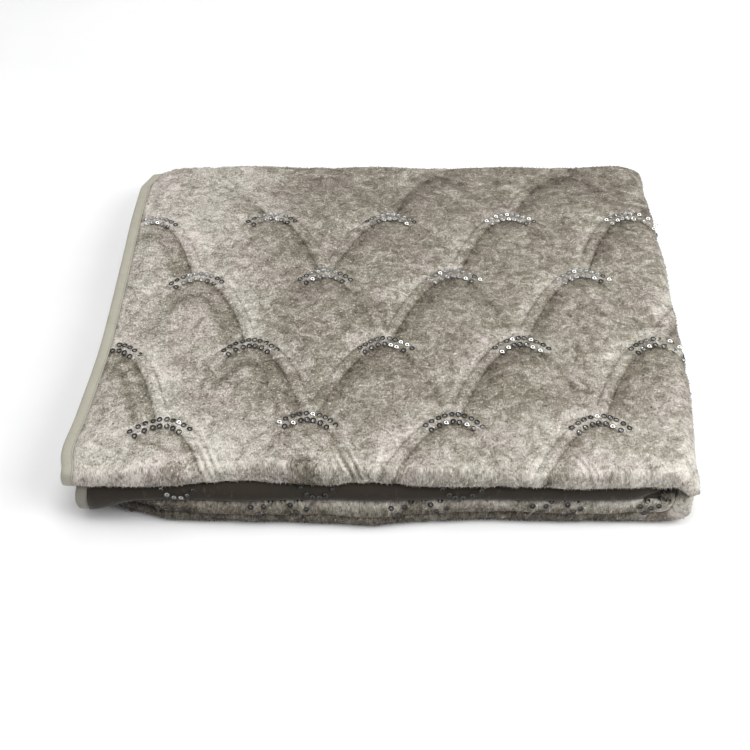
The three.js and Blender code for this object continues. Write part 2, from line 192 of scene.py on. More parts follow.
# Sequins: their places, and a turned profile of radius and height as shares of the sequin's radius
SEQUIN_STEP = 5.3
SEQUIN_ROW_GAP = 6.6
SEQUIN_STAGGER = 0.12
SEQUIN_SEGMENTS = 14
SEQUIN_CLEARANCE = 0.15
SEQUIN_FROM_EDGE = 2.5
SEQUIN_SEED = 11
SEQUIN_LEAN = (0.22, 0.22, 0.06)
GLINT_CUP = 0.25
GLINT_LIFT = 0.9
SEQUIN_PROFILE = (
    (0.24, 0.02), (0.52, 0.02), (0.66, 0.07), (1.0, 0.24),
    (1.0, 0.29), (0.64, 0.12), (0.50, 0.07), (0.24, 0.07),
)

# Rows of scallops with sequins: panel, first and last scallop, row
SEQUIN_ROWS = (
    ("top", -0.62, 3.62, 1), ("top", -0.62, 3.62, 2), ("top", -0.62, 3.62, 3), ("top", -0.62, 3.62, 4),
    ("second", 12.2, 14.9, 0), ("third", 7.2, 11.6, 0),
)

# The velvet's look. Sizes and zones are in metres, strengths in steps of tone or shares of the bump.
# Four numbers give where a change starts and ends, then the grain's strength at its start and end
WIDE_PATCH = 0.030
SMALL_PATCH = 0.0075
LYING_GRAIN = {"Thread_Size": 0.0011, "Stretch": 1.5}
UPRIGHT_GRAIN = {"Thread_Size": 0.0024, "Stretch": 0.42}
UPRIGHT_FRONT = (0.040, 0.004)
UPRIGHT_PATCHES = (-0.18, 0.18)
FLECKS_PER_METRE = 520.0
BRIGHT_FLECK_FROM = 0.60
DIM_FLECK_FROM = 0.38
# The groove step is painted shade in the stitched grooves, the pleats step painted light and shade across the
# gathers
TONE_OF = {"wide": 1.0, "small": 2.6, "grain": 4.6, "flecks": 9.0, "groove": -0.60, "pleats": 0.8}
DEPTH_OF = {"grain": 0.6, "small": 0.4, "groove": -0.6, "thread": 0.2, "pleats": 0.5}
CALM_LIE = (-2.3, -1.3, 0.32, 1.0)
SMOOTHER_TO_RIGHT = (0.10, 0.32, 1.12, 0.80)
HIDDEN_SEAM_SHOWS = 0.12
TONE_TO_RAMP = 0.25
CAST_PER_METRE = 21.0
CAST = ((0.36, (0.985, 0.998, 0.955)), (0.5, (1, 0.99, 0.965)), (0.64, (1.0, 0.966, 0.962)))

# The satin's look, in metres
SATIN_SEAM_AT = 0.0015
SATIN_SEAM_HALF = 0.0006
SATIN_STITCH = 0.0030

# The stage in metres: lamps by name, place, size, power and whether they show in reflections
BACK_LAMP_PLACE = (0.0, 1.20, 1.45)
LAMPS = (
    ("key", (1.05, -0.35, 1.0), 1.1, 16.0, True),
    ("back", BACK_LAMP_PLACE, 1.1, 5.0, True),
    ("fill", (-0.9, -0.5, 1.5), 1.4, 5.0, False),
    ("overhead", (-0.1, 0.3, 2.0), 1.8, 24.5, False),
)
FLOOR_HALF = 6.0

# The camera, in millimetres and degrees, with its focal length in pixels of the picture
CAMERA_HEIGHT = 687.0
CAMERA_BACK = 437.0
CAMERA_ELEVATION = 50.0
CAMERA_FOCUS_PX = 986.0
IMAGE_WIDTH_PX = 750.0


def ease(start, end, value):
    """Rises smoothly from 0 at start to 1 at end."""
    t = np.clip((value - start) / (end - start), 0, 1)
    return t * t * (3 - 2 * t)


def share(start, end, value):
    """Rises evenly from 0 at start to 1 at end."""
    return np.clip((value - start) / (end - start), 0, 1)


def bump(middle, spread, value):
    """A soft hump of height 1."""
    return np.exp(-(((value - middle) / spread) ** 2))


def zoned(effect, **places):
    """An effect's size where the places are inside all its zones, and less towards their starts."""
    size = effect["size"]
    for axis, place in places.items():
        if axis in effect:
            size = size * ease(*effect[axis], place)
    return size


class ThrowSizes(bpy.types.PropertyGroup):
    """The sizes that a user would change."""

    sheet_thickness: FloatProperty(
        name="Sheet thickness", description="Velvet, wadding and backing together",
        default=2.7 * MM, min=1 * MM, max=2.9 * MM, unit="LENGTH")
    layer_pitch: FloatProperty(
        name="Layer pitch", description="From one layer's middle to the next",
        default=3.1 * MM, unit="LENGTH")
    panel_pitch: FloatProperty(
        name="Panel pitch", description="From one panel of four layers to the next",
        default=12.6 * MM, unit="LENGTH")
    puff_height: FloatProperty(
        name="Puff height", description="How far the padding stands above the stitching",
        default=3.6 * MM, max=4 * MM, unit="LENGTH")
    band_height: FloatProperty(
        name="Band height", description="How far the band between the two stitch lines stands up",
        default=1.9 * MM, max=3 * MM, unit="LENGTH")
    binding_width: FloatProperty(
        name="Binding width", description="Width of the satin tape on the face of the cloth",
        default=10 * MM, unit="LENGTH")
    sequin_size: FloatProperty(
        name="Sequin size", description="Outer diameter of a sequin",
        default=4.7 * MM, unit="LENGTH")
    sequins_in_row: IntProperty(
        name="Sequins in a row", description="About how many lie in each of the two rows at a scallop's top",
        default=8, min=2, max=14)
    grid_step: FloatProperty(
        name="Grid step", description="Size of the cloth's faces where it shows most",
        default=3.0 * MM, min=2 * MM, max=12 * MM, unit="LENGTH")


class ThrowColours(bpy.types.PropertyGroup):
    """The colours that a user would change."""

    # The ramp's dark end also stands for painted shade under the folds, its light end for painted light on
    # the front fold
    velvet_dark: FloatVectorProperty(
        name="Velvet, against the pile", description="Where the pile leans away", subtype="COLOR",
        default=(0.058, 0.046, 0.034), size=3, min=0, max=1)
    velvet_middle: FloatVectorProperty(
        name="Velvet, middle", description="The overall silver taupe", subtype="COLOR",
        default=(0.222, 0.200, 0.161), size=3, min=0, max=1)
    velvet_light: FloatVectorProperty(
        name="Velvet, along the pile", description="Where the pile catches the light", subtype="COLOR",
        default=(0.540, 0.508, 0.470), size=3, min=0, max=1)
    satin: FloatVectorProperty(
        name="Satin", description="The binding's pale sage cream", subtype="COLOR",
        default=(0.400, 0.380, 0.312), size=3, min=0, max=1)
    sequin: FloatVectorProperty(
        name="Sequin", description="The silver of the sequins", subtype="COLOR",
        default=(0.900, 0.900, 0.880), size=3, min=0, max=1)


class Line:
    """Places along a fold line: two coordinates, the outward direction, the length so far and the part."""

    def __init__(self):
        self.rows = []
        self.parts = []

    def straight(self, part, start, end, level, facing, step):
        """Adds places from start up to, but not including, end."""
        count = max(1, round(abs(end - start) / step))
        for index in range(count):
            self.rows.append((start + (end - start) * index / count, level, 0.0, facing))
            self.parts.append(part)

    def half_turn(self, part, middle, radius, start, end, steps, facing=1.0):
        """Adds the places of a half circle, both ends among them."""
        for index in range(steps + 1):
            angle = math.radians(start + (end - start) * index / steps)
            u, v = math.cos(angle), math.sin(angle)
            self.rows.append((middle[0] + radius * u, middle[1] + radius * v, facing * u, facing * v))
            self.parts.append(part)

    def close(self, part, end, level, facing):
        """Adds the last place and works out the lengths."""
        self.rows.append((end, level, 0.0, facing))
        self.parts.append(part)
        table = np.array(self.rows)
        self.u, self.v, self.nu, self.nv = table.T
        steps = np.hypot(np.diff(self.u), np.diff(self.v))
        self.length = np.concatenate([[0.0], np.cumsum(steps)])
        self.parts = np.array(self.parts)
        return self


class Fold:
    """The folded cloth: its section from front to back and its path through the four panels."""

    def __init__(self, sizes):
        self.thickness = sizes.sheet_thickness / MM
        self.layer = sizes.layer_pitch / MM
        self.panel = sizes.panel_pitch / MM
        self.step = sizes.grid_step / MM
        self.half_panel = 1.5 * self.layer + self.thickness / 2
        self.levels = [self.half_panel + n * self.panel for n in (3, 2, 1, 0)]
        self.height = self.levels[0] + self.half_panel
        self.section = self.make_section()
        self.path = self.make_path()
        self.flat_y = self.section_length_at_front() - self.section.length
        self.origin = np.zeros(3)

    def make_section(self):
        outer, inner = 1.5 * self.layer, 0.5 * self.layer
        middle, radius = (outer + inner) / 2, self.layer / 2
        line = Line()
        line.straight("under", FREE_EDGE_Y, UPPER_BACK_FOLD_Y, inner, -1, HIDDEN_STEP)
        line.half_turn("upper_back", (UPPER_BACK_FOLD_Y, middle), radius, -90, 90, 10)
        line.straight("top", UPPER_BACK_FOLD_Y - 2, 0, outer, 1, self.step)
        line.half_turn("front", (0, 0), outer, 90, 270, 16)
        line.straight("lowest", 2, LOWER_BACK_FOLD_Y, -outer, -1, HIDDEN_STEP)
        line.half_turn("lower_back", (LOWER_BACK_FOLD_Y, -middle), radius, -90, 90, 10)
        line.straight("last", LOWER_BACK_FOLD_Y - 8, FREE_EDGE_Y, -inner, 1, HIDDEN_STEP)
        return line.close("last", FREE_EDGE_Y, -inner, 1)

    def make_path(self):
        top, second, third, bottom = self.levels
        wrap = (top - bottom) / 2
        fold = self.panel / 2
        line = Line()
        line.straight("top", LEFT_END_TOP, RIGHT_WRAP_X, top, 1, self.step)
        line.half_turn("wrap", (RIGHT_WRAP_X, bottom + wrap), wrap, 90, -90, 26)
        line.straight("bottom", RIGHT_WRAP_X - 5, LEFT_CREASE_X, bottom, -1, 2.6 * self.step)
        line.half_turn("crease", (LEFT_CREASE_X, bottom + fold), fold, 270, 90, 12)
        line.straight("third", LEFT_CREASE_X + 4, INNER_FOLD_X, third, 1, 1.9 * self.step)
        line.half_turn("inner", (INNER_FOLD_X, third + fold), fold, -90, 90, 10, facing=-1.0)
        line.straight("second", INNER_FOLD_X - 4, LEFT_END_SECOND, second, -1, 1.6 * self.step)
        return line.close("second", LEFT_END_SECOND, second, -1)

    def section_length_at_front(self):
        return self.section.length[np.argmax(self.section.parts == "front")]

    def flat_size(self):
        """Length and width of the cloth laid flat, in metres."""
        return self.path.length[-1] * MM, self.section.length[-1] * MM

    def settle(self, x, y, z):
        """Moves places out of true: the pack sinks, leans, spreads and droops."""
        at_front = 1 - ease(*FRONT_ZONE, y)
        at_back = ease(*BACK_ZONE, y)
        height = z / self.height
        sink = SINK["middle"] * ease(*SINK["y"], y) + SINK["back"] * at_back
        top_share = share(self.height, self.height - self.panel, z)
        second_share = share(self.height - self.panel, self.height - 2 * self.panel, z)
        below_share = share(0, self.height - 2 * self.panel, z)
        end_droop = DROOP["top"] * top_share + DROOP["second"] * second_share
        droop = below_share * end_droop * ease(*DROOP["x"], x)
        x_wave = np.sin(x / SWELL["x_wave"] + SWELL["x_start"])
        y_wave = np.sin(y / SWELL["y_wave"] + SWELL["y_start"])
        swell = SWELL["size"] * height * x_wave * y_wave
        lean = LEAN["size"] * (1 - np.exp(-np.maximum(y, 0) / LEAN["run"]))
        to_right, to_left = share(*WIDEN["right_x"], x), share(*WIDEN["left_x"], x)
        widen = y * (WIDEN["right"] * to_right - WIDEN["left"] * to_left)
        side = zoned(RIGHT_SQUARE, x=x, z=z) - zoned(RIGHT_TUCK, x=x, z=z)
        step = LOWER_STEP * np.sin(math.pi / 2 * (1 - share(self.levels[3], self.levels[0], z)))
        top_dent = sum(d * bump(m, s, x) for m, d, s in TOP_FRONT_DENTS) * ease(*TOP_DENT_Z, z)
        low_dent = sum(d * bump(m, s, x) for m, d, s in LOW_FRONT_DENTS) * ease(*LOW_DENT_Z, z)
        lip = CREVICE_LIP["z"] - CREVICE_LIP["fall"] * ease(*CREVICE_LIP["x"], x)
        rounding = CREVICE_LIP["rounding"]
        crevice = zoned(SIDE_CREVICE, x=x, z=z) * ease(lip + rounding, lip - rounding, z)
        front_shift = top_dent + low_dent + zoned(LEFT_ROUND, x=x, z=z) + crevice - step
        front_bow = FRONT_BOW["size"] * bump(FRONT_BOW["middle"], FRONT_BOW["spread"], y)
        end_bow = bump(END_BOW["middle"], END_BOW["spread"], y) * zoned(END_BOW, x=x, z=z)
        front_corner = bump(0, FRONT_CORNER["spread"], y) * zoned(FRONT_CORNER, x=x, z=z)
        corners = zoned(BACK_CORNER, x=x, y=y, z=z) + front_corner
        lip_size = zoned(LIP_DROOP, x=x) + zoned(LIP_CORNER, x=x)
        lip_droop = at_front * lip_size * ease(*LIP_Z[0], z) * ease(*LIP_Z[1], z)
        round_back = BACK_ROUND["size"] * (ease(*BACK_ROUND["left_x"], x) + ease(*BACK_ROUND["right_x"], x))
        stagger = STAGGER["size"] * np.sin(height * STAGGER["turns"] + STAGGER["start"])
        return np.stack([
            x + lean + widen + side + corners - front_bow - end_bow,
            y + at_front * front_shift + at_back * (stagger - round_back),
            z * (1 - sink) - droop - lip_droop + swell,
        ], axis=-1)

    def points(self, path, offset):
        """Places of the whole section along a path, at an offset from the sheet's middle."""
        s = self.section
        height = s.v[None, :] + s.nv[None, :] * offset
        x = path.u[:, None] + path.nu[:, None] * height
        z = path.v[:, None] + path.nv[:, None] * height
        y = s.u[None, :] + s.nu[None, :] * offset + 0 * x
        return self.settle(x, y, z)


class Quilting:
    """The scallops: where a place of the flat cloth lies among them, and how high the padding is."""

    def __init__(self, fold):
        rows = np.arange(-22, 24)
        last = len(SCALLOP_TOPS) - 1
        beyond = np.where(rows > last, SCALLOP_TOPS[-1] + RISE * (rows - last), SCALLOP_TOPS[0] + RISE * rows)
        known = (rows >= 0) & (rows <= last)
        self.rows, self.tops = rows, np.where(known, np.interp(rows, range(last + 1), SCALLOP_TOPS), beyond)
        path = fold.path

        def length_at(part, x):
            where = np.flatnonzero(path.parts == part)
            order = where[np.argsort(path.u[where])]
            return float(np.interp(x, path.u[order], path.length[order]))

        wrap_x = RIGHT_WRAP_X - 3
        self.wrap_length = length_at("top", wrap_x)
        lower_lengths = [length_at(part, x) for part, x, _ in LOWER_SCALLOPS]
        self.knot_lengths = np.array([0.0, self.wrap_length, *lower_lengths])
        top_cells = [(x - SCALLOP_STARTS[0]) / PITCH for x in (LEFT_END_TOP, wrap_x)]
        self.knot_cells = np.array([*top_cells, *(cell for _, _, cell in LOWER_SCALLOPS)])
        self.shift_lengths = np.array([0.0] + [length_at(part, x) for part, x, _ in LOWER_ROW_SHIFTS])
        self.shift_sizes = np.array([0.0] + [shift for _, _, shift in LOWER_ROW_SHIFTS])

    def row_shift(self, length):
        """How far the rows stand further back here than at the middle of the top."""
        drop = LEFT_ROW_DROP * ease(-90, -220, LEFT_END_TOP + length)
        return np.interp(length, self.shift_lengths, self.shift_sizes) - drop

    def cells(self, length, flat_y):
        """Scallop coordinates: one unit along for each scallop, one across for each row."""
        x = LEFT_END_TOP + length
        row = np.interp(flat_y - self.row_shift(length), self.tops, self.rows)
        along = np.interp(length, self.knot_lengths, self.knot_cells)
        known = np.arange(len(SCALLOP_TOPS))
        start = np.interp(row, known, SCALLOP_STARTS)
        pitch = np.interp(row, known, SCALLOP_PITCHES)
        own = (x - start) / pitch
        regular = (x - SCALLOP_STARTS[0]) / PITCH
        weight = 1 - ease(self.wrap_length, self.wrap_length + 60, length)
        return along + weight * (own - regular), row

    def flat_place(self, along, row, panel):
        """The place on the flat cloth of scallop coordinates, on one panel."""
        low, high = {"top": (0, self.wrap_length + 40), "third": (950, 1420), "second": (1420, 1900)}[panel]
        lengths = np.linspace(low, high, 600)
        flat_y = np.interp(row, self.rows, self.tops) + self.row_shift(lengths)
        cells, _ = self.cells(lengths, flat_y)
        best = np.argmin(np.abs(cells - along))
        return lengths[best], flat_y[best]

    @staticmethod
    def distances(along, row):
        """How far outside the own scallop and the one in front, and how far along each one's arc."""
        number = np.floor(row) + 1
        rise = row - np.floor(row)
        half = np.where(number % 2 == 0, 0.5, 0.0)

        def across(shift):
            place = along - shift + 0.5
            return 2 * (place - np.floor(place) - 0.5)

        own = across(half)
        front = across(0.5 - half)
        own_gap = (own ** 2 + rise - 1) / np.hypot(4 * own / PITCH, 1 / RISE)
        front_gap = (front ** 2 + rise) / np.hypot(4 * front / PITCH, 1 / RISE)
        return own_gap, front_gap, own, front

    def height(self, along, row, puff, band):
        """How far the quilting stands above its stitching."""
        own, front, own_leg, _ = self.distances(along, row)
        nearest = np.minimum(np.abs(own), front)
        padding = puff * (1 - np.exp(-((np.maximum(nearest - BAND_HALF, 0) / PUFF_RUN) ** 2)))
        ridge = band * np.clip(1 - (nearest / RIDGE_REACH) ** 2, 0, 1) ** 2
        wrinkle = bump(-WRINKLE["middle"], WRINKLE["spread"], own) * self.wrinkled(along, own_leg)
        return padding + ridge - WRINKLE["depth"] * wrinkle

    @staticmethod
    def wrinkled(along, leg):
        """Where the throw's leftmost scallops have a wrinkle just inside their arc."""
        return ease(-0.75, -0.3, leg) * ease(0.95, 0.6, leg) * ease(1.0, 0.4, along)

    @staticmethod
    def lit_side(along, leg):
        """Which leg of a scallop shows its painted light and shade: the right one at the throw's left end,
        the left one elsewhere.
        """
        to_left = ease(0.55, 1.45, along)
        return 0.15 + 0.85 * (to_left * ease(0.6, -0.15, leg) + (1 - to_left) * ease(-0.6, 0.15, leg))

    def seam_show(self, along, row):
        """How plainly the nearest stitched line shows: the weight of its groove's bump and its painted shade.
        """
        own, front, own_leg, front_leg = self.distances(along, row)
        return np.where(np.abs(own) < front, self.lit_side(along, own_leg), self.lit_side(along, front_leg))

    def nap(self, along, row):
        """Painted light just outside each scallop and painted shade just inside it where the padding slopes,
        partly the pile's lean, most on the leg that shows, with painted shade along the wrinkle.
        """
        own, front, own_leg, front_leg = self.distances(along, row)
        own_side, front_side = self.lit_side(along, own_leg), self.lit_side(along, front_leg)
        lighter = 0.6 * bump(10, 8, own) * own_side + 0.55 * bump(9, 8, front) * front_side
        inside = np.maximum(-own, 0)
        darker = 1.15 * ease(2, 7, inside) * np.exp(-np.maximum(inside - 7, 0) / 11) * own_side
        wrinkle = bump(WRINKLE["dark_middle"], WRINKLE["spread"], inside) * self.wrinkled(along, own_leg)
        return lighter - darker - WRINKLE["dark"] * wrinkle


def crush(points, size, seed):
    """Soft uneven noise at each point, from -1 to 1."""
    flat = points.reshape(-1, 3) / size
    values = [noise.noise(Vector(p) + Vector((seed, 0, 0))) for p in flat]
    return np.array(values).reshape(points.shape[:-1])


def exposure(fold):
    """How far each place of the outer side is free to swell: 1 in the open, 0 between layers."""
    path, section = fold.path, fold.section
    along_top = np.where(path.parts == "top", 1.0, 0.0)
    wrap = path.parts == "wrap"
    held = SWELLS["right_side"]
    upper_wrap = ease(0.1, 0.95, path.nv[wrap])
    along_top[wrap] = ease(-0.98, -0.2, path.nv[wrap]) * (held + (1 - held) * upper_wrap)
    crease = path.parts == "crease"
    along_top[crease] = SWELLS["crease"] * np.maximum(-path.nu[crease], 0)
    face = np.where(section.parts == "top", 1.0, 0.0)
    front = section.parts == "front"
    face[front] = np.maximum(section.nv[front], 0) ** 2
    outward = np.where(front, SWELLS["front"] * np.maximum(-section.nu, 0), 0.0)
    upper_back = np.where(section.parts == "upper_back", ease(-0.6, 0.3, section.nv), 0.0)
    face = np.maximum(face, upper_back)
    backward = np.where(section.parts == "lower_back", np.maximum(section.nu, 0), 0)
    facing_out = np.where(path.parts == "inner", 0.0, 1.0)
    top_and_front = np.maximum(along_top[:, None] * face[None, :], facing_out[:, None] * outward[None, :])
    return np.maximum(top_and_front, SWELLS["lower_back"] * facing_out[:, None] * backward[None, :])


def square_nose(fold):
    """How far the lower folds fill out towards each other at the front, where the pile hides the seam."""
    path, section = fold.path, fold.section
    weight = np.where((path.parts == "bottom") | (path.parts == "third"), 1.0, 0.0)
    wrap, inner = path.parts == "wrap", path.parts == "inner"
    weight[wrap] = ease(0.1, -0.4, path.nv[wrap])
    weight[inner] = ease(-0.1, 0.4, path.nv[inner])
    weight = weight * ease(LEFT_CREASE_X + 6, LEFT_CREASE_X + 40, path.u)
    toward_seam = (section.parts == "front") & (section.nv < 0)
    corner = np.where(toward_seam, (2 * section.nu * section.nv) ** 2, 0.0)
    return NOSE_FILL * weight[:, None] * corner[None, :]


def gathers(length, flat_y):
    """Little slanting creases where the front fold is drawn up."""
    x = LEFT_END_TOP + length
    total = 0 * (x + flat_y)
    for middle, size in GATHERS:
        slant = x - middle + GATHER_SLANT * flat_y
        wave = np.sin(2 * math.pi * slant / GATHER_PITCH)
        total = total + size * wave * bump(0, 14, slant) * bump(10, 15, flat_y)
    on_top = length < RIGHT_WRAP_X - LEFT_END_TOP
    return total * on_top


def coarse_indices(line, step, corners):
    """Indices of a thinned line that keeps the ends of its parts."""
    keep = [0]
    for index in range(1, len(line.u) - 1):
        far = line.length[index] - line.length[keep[-1]] >= step
        turning = line.parts[index] in corners and index % 2 == 0
        if far or turning:
            keep.append(index)
    keep.append(len(line.u) - 1)
    return np.array(keep)


def grid_faces(ids, flip):
    """Quads of a grid of vertex numbers."""
    a, b, c, d = ids[:-1, :-1], ids[:-1, 1:], ids[1:, 1:], ids[1:, :-1]
    order = (a, d, c, b) if flip else (a, b, c, d)
    return np.stack(order, axis=-1).reshape(-1, 4).tolist()


def zip_faces(fine, coarse, places, flip):
    """Triangles between a fine row of vertices and a coarse one that shares some of its places."""
    faces = []

    def add(*corners):
        faces.append(corners[::-1] if flip else corners)

    for index in range(len(places) - 1):
        start, end = places[index], places[index + 1]
        middle = (start + end) // 2
        for k in range(start, end):
            add(fine[k], fine[k + 1], coarse[index] if k < middle else coarse[index + 1])
        add(fine[middle], coarse[index + 1], coarse[index])
    return faces


def shell_faces(outer_ids, inner_ids, stations, rows):
    """Faces of a closed sheet: its two sides and the strips that join them along the four edges."""
    faces = grid_faces(outer_ids, False) + grid_faces(inner_ids, True)
    faces += zip_faces(outer_ids[:, 0], inner_ids[:, 0], stations, False)
    faces += zip_faces(outer_ids[:, -1], inner_ids[:, -1], stations, True)
    faces += zip_faces(outer_ids[0], inner_ids[0], rows, True)
    faces += zip_faces(outer_ids[-1], inner_ids[-1], rows, False)
    return faces


def new_mesh(name, verts, faces, maps, values=None):
    """A smooth mesh object in metres with its flat coordinates and values at each vertex."""
    mesh = bpy.data.meshes.new(name)
    mesh.from_pydata((np.asarray(verts) * MM).tolist(), [], faces)
    mesh.update()
    corners = np.empty(len(mesh.loops), dtype=np.int32)
    mesh.loops.foreach_get("vertex_index", corners)
    for map_name, coordinates in maps.items():
        layer = mesh.uv_layers.new(name=map_name)
        layer.data.foreach_set("uv", np.asarray(coordinates, dtype=np.float32)[corners].ravel())
    for value_name, numbers in (values or {}).items():
        attribute = mesh.attributes.new(value_name, "FLOAT", "POINT")
        attribute.data.foreach_set("value", np.asarray(numbers, dtype=np.float32))
    mesh.polygons.foreach_set("use_smooth", [True] * len(mesh.polygons))
    piece = bpy.data.objects.new(name, mesh)
    bpy.context.scene.collection.objects.link(piece)
    return piece


class Store:
    """What the operators hand on to one another."""

    fold = None
    quilting = None
    face = None
    maps = None
    cloth = None
    pile = None
    bindings = []
    sequins = None


def get_fold(context):
    """The fold, built once and set where the solids stand."""
    if Store.fold is None:
        fold = Fold(context.scene.throw_sizes)
        edge = binding_grid(fold, LEFT_END_TOP, fold.levels[0], 1, context.scene.throw_sizes, plain=True)[0]
        low, high = (np.array(corner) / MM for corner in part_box("binding_top"))
        own_low, own_high = edge.reshape(-1, 3).min(axis=0), edge.reshape(-1, 3).max(axis=0)
        fold.origin = np.array([low[0] - own_low[0], (low[1] + high[1] - own_low[1] - own_high[1]) / 2, 0.0])
        Store.fold = fold
        Store.quilting = Quilting(fold)
    return Store.fold, Store.quilting


def texture_rows(fold, outer):
    """Flat places along the section for the texture, with the true length round the back folds."""
    parts = fold.section.parts
    at_back = (parts == "upper_back") | (parts == "lower_back")
    true_step = np.linalg.norm(np.diff(outer[fold.path.parts == "top"], axis=1), axis=-1).mean(axis=0)
    step = np.where(at_back[1:] | at_back[:-1], true_step, -np.diff(fold.flat_y))
    rows = -np.concatenate([[0.0], np.cumsum(step)])
    first = np.argmax(parts == "top")
    return rows - rows[first] + fold.flat_y[first]


def build_cloth(context):
    """The quilted cloth as one closed sheet, fine outside and coarse inside."""
    sizes = context.scene.throw_sizes
    fold, quilting = get_fold(context)
    path, section = fold.path, fold.section
    length, flat_y = np.meshgrid(path.length, fold.flat_y, indexing="ij")
    along, row = quilting.cells(length, flat_y)
    open_share = exposure(fold)
    relief = quilting.height(along, row, sizes.puff_height / MM, sizes.band_height / MM)
    plain = np.stack([length, flat_y, 0 * length], axis=-1)
    soft = sum(crush(plain, size, seed) * height for size, seed, height in UNEVENNESS)
    rise = open_share * (relief + soft + gathers(length, flat_y)) * ease(0, 16, length) + square_nose(fold)
    outer = fold.points(path, fold.thickness / 2 + rise) + fold.origin
    outer[..., 2] = np.maximum(outer[..., 2], 0)
    Store.face = outer

    stations = coarse_indices(path, INNER_STEP, ("wrap", "crease", "inner"))
    rows = coarse_indices(section, INNER_STEP, ("front", "upper_back", "lower_back"))
    inner = (fold.points(path, -fold.thickness / 2) + fold.origin)[np.ix_(stations, rows)]

    outer_ids = np.arange(outer.shape[0] * outer.shape[1]).reshape(outer.shape[:2])
    inner_ids = outer_ids.size + np.arange(inner.shape[0] * inner.shape[1]).reshape(inner.shape[:2])
    faces = shell_faces(outer_ids, inner_ids, stations, rows)

    verts = np.concatenate([outer.reshape(-1, 3), inner.reshape(-1, 3)])
    pick = np.ix_(stations, rows)
    flat_map = np.stack([length, texture_rows(fold, outer)[None, :] + 0 * length], axis=-1) * MM
    cell_map = np.stack([along, row], axis=-1)
    maps = {
        "flat": np.concatenate([flat_map.reshape(-1, 2), flat_map[pick].reshape(-1, 2)]),
        "scallops": np.concatenate([cell_map.reshape(-1, 2), cell_map[pick].reshape(-1, 2)]),
    }
    lie_light_and_shade = nap_field(fold, quilting, along, row, length, flat_y)
    Store.maps = (flat_map, cell_map, lie_light_and_shade)
    right, left = FADED_SEAM["right"], FADED_SEAM["left"]
    faded = ease(*FADED_Y, flat_y) * (right + (left - right) * ease(*FADED_X, LEFT_END_TOP + length))
    show = quilting.seam_show(along, row) * (1 - faded)
    values = {"pile_lie_light_and_shade": np.concatenate([lie_light_and_shade.ravel(), lie_light_and_shade[pick].ravel()]),
              "seam_show": np.concatenate([show.ravel(), show[pick].ravel()])}
    return new_mesh("quilted_velvet", verts, faces, maps, values)


def build_pile(context):
    """Little tufts of longer pile that roughen the folds and the outline."""
    fold, _ = get_fold(context)
    path, section = fold.path, fold.section
    face = Store.face
    rng = np.random.default_rng(TUFT_SEED)
    along = face[1:, :-1] - face[:-1, :-1]
    down = face[:-1, 1:] - face[:-1, :-1]
    outward = np.cross(down, along)
    area = np.linalg.norm(outward, axis=-1)
    nose = np.where(section.parts == "front", np.maximum(-section.nu, 0), 0.0)
    on_top = np.where(section.parts == "top", 1.0, 0.0)
    back = np.where(section.parts == "upper_back", np.maximum(section.nu, 0), 0.0)
    upper = np.where(path.parts == "top", 1.0, np.where(path.parts == "wrap", TUFT_SHARES["right_side"], 0.0))
    shows = np.where((path.parts == "inner") | (path.parts == "second"), 0.0, 1.0)
    above = TUFT_SHARES["top"] * on_top + TUFT_SHARES["back_fold"] * back
    before = TUFT_SHARES["front_folds"] * nose
    weight = upper[:, None] * above[None, :] + shows[:, None] * before[None, :]
    weight = (weight[:-1, :-1] * area).ravel()
    picked = rng.choice(weight.size, size=PILE_TUFTS, p=weight / weight.sum())
    i, j = np.unravel_index(picked, area.shape)
    a, b = rng.random((2, PILE_TUFTS))

    def at(values):
        shape = (slice(None),) + (None,) * (values.ndim - 2)
        return ((1 - a)[shape] * (1 - b)[shape] * values[i, j] + a[shape] * (1 - b)[shape] * values[i + 1, j]
                + (1 - a)[shape] * b[shape] * values[i, j + 1] + a[shape] * b[shape] * values[i + 1, j + 1])

    root = at(face)
    normal = outward[i, j] / area[i, j][:, None]
    turn = rng.random(PILE_TUFTS) * math.tau
    first = along[i, j] / np.linalg.norm(along[i, j], axis=-1)[:, None]
    second = np.cross(normal, first)
    side = first * np.cos(turn)[:, None] + second * np.sin(turn)[:, None]
    forward = np.array([0.0, -TUFT_LEAN["forward"], 0.0])
    lean = rng.normal(0, TUFT_LEAN["spread"], (PILE_TUFTS, 3)) + forward
    direction = normal * TUFT_LEAN["upright"] + lean * TUFT_LEAN["aside"]
    direction = direction / np.linalg.norm(direction, axis=-1)[:, None]
    tall = rng.uniform(*TUFT_LENGTH, PILE_TUFTS)[:, None]
    sunk = root - normal * TUFT_SINK
    beside = side * TUFT_WIDTH / 2
    corners = np.stack([sunk - beside, sunk + beside, root + direction * tall], axis=1)
    corners[..., 2] = np.maximum(corners[..., 2], 0)
    faces = np.arange(3 * PILE_TUFTS).reshape(-1, 3).tolist()
    flat, cells, lie_light_and_shade = (at(values) for values in Store.maps)
    tone = lie_light_and_shade + rng.normal(TUFT_TONE["lighter"], TUFT_TONE["spread"], PILE_TUFTS)
    maps = {"flat": np.repeat(flat, 3, axis=0), "scallops": np.repeat(cells, 3, axis=0)}
    return new_mesh("pile_tufts", corners.reshape(-1, 3), faces, maps, {"pile_lie_light_and_shade": np.repeat(tone, 3)})


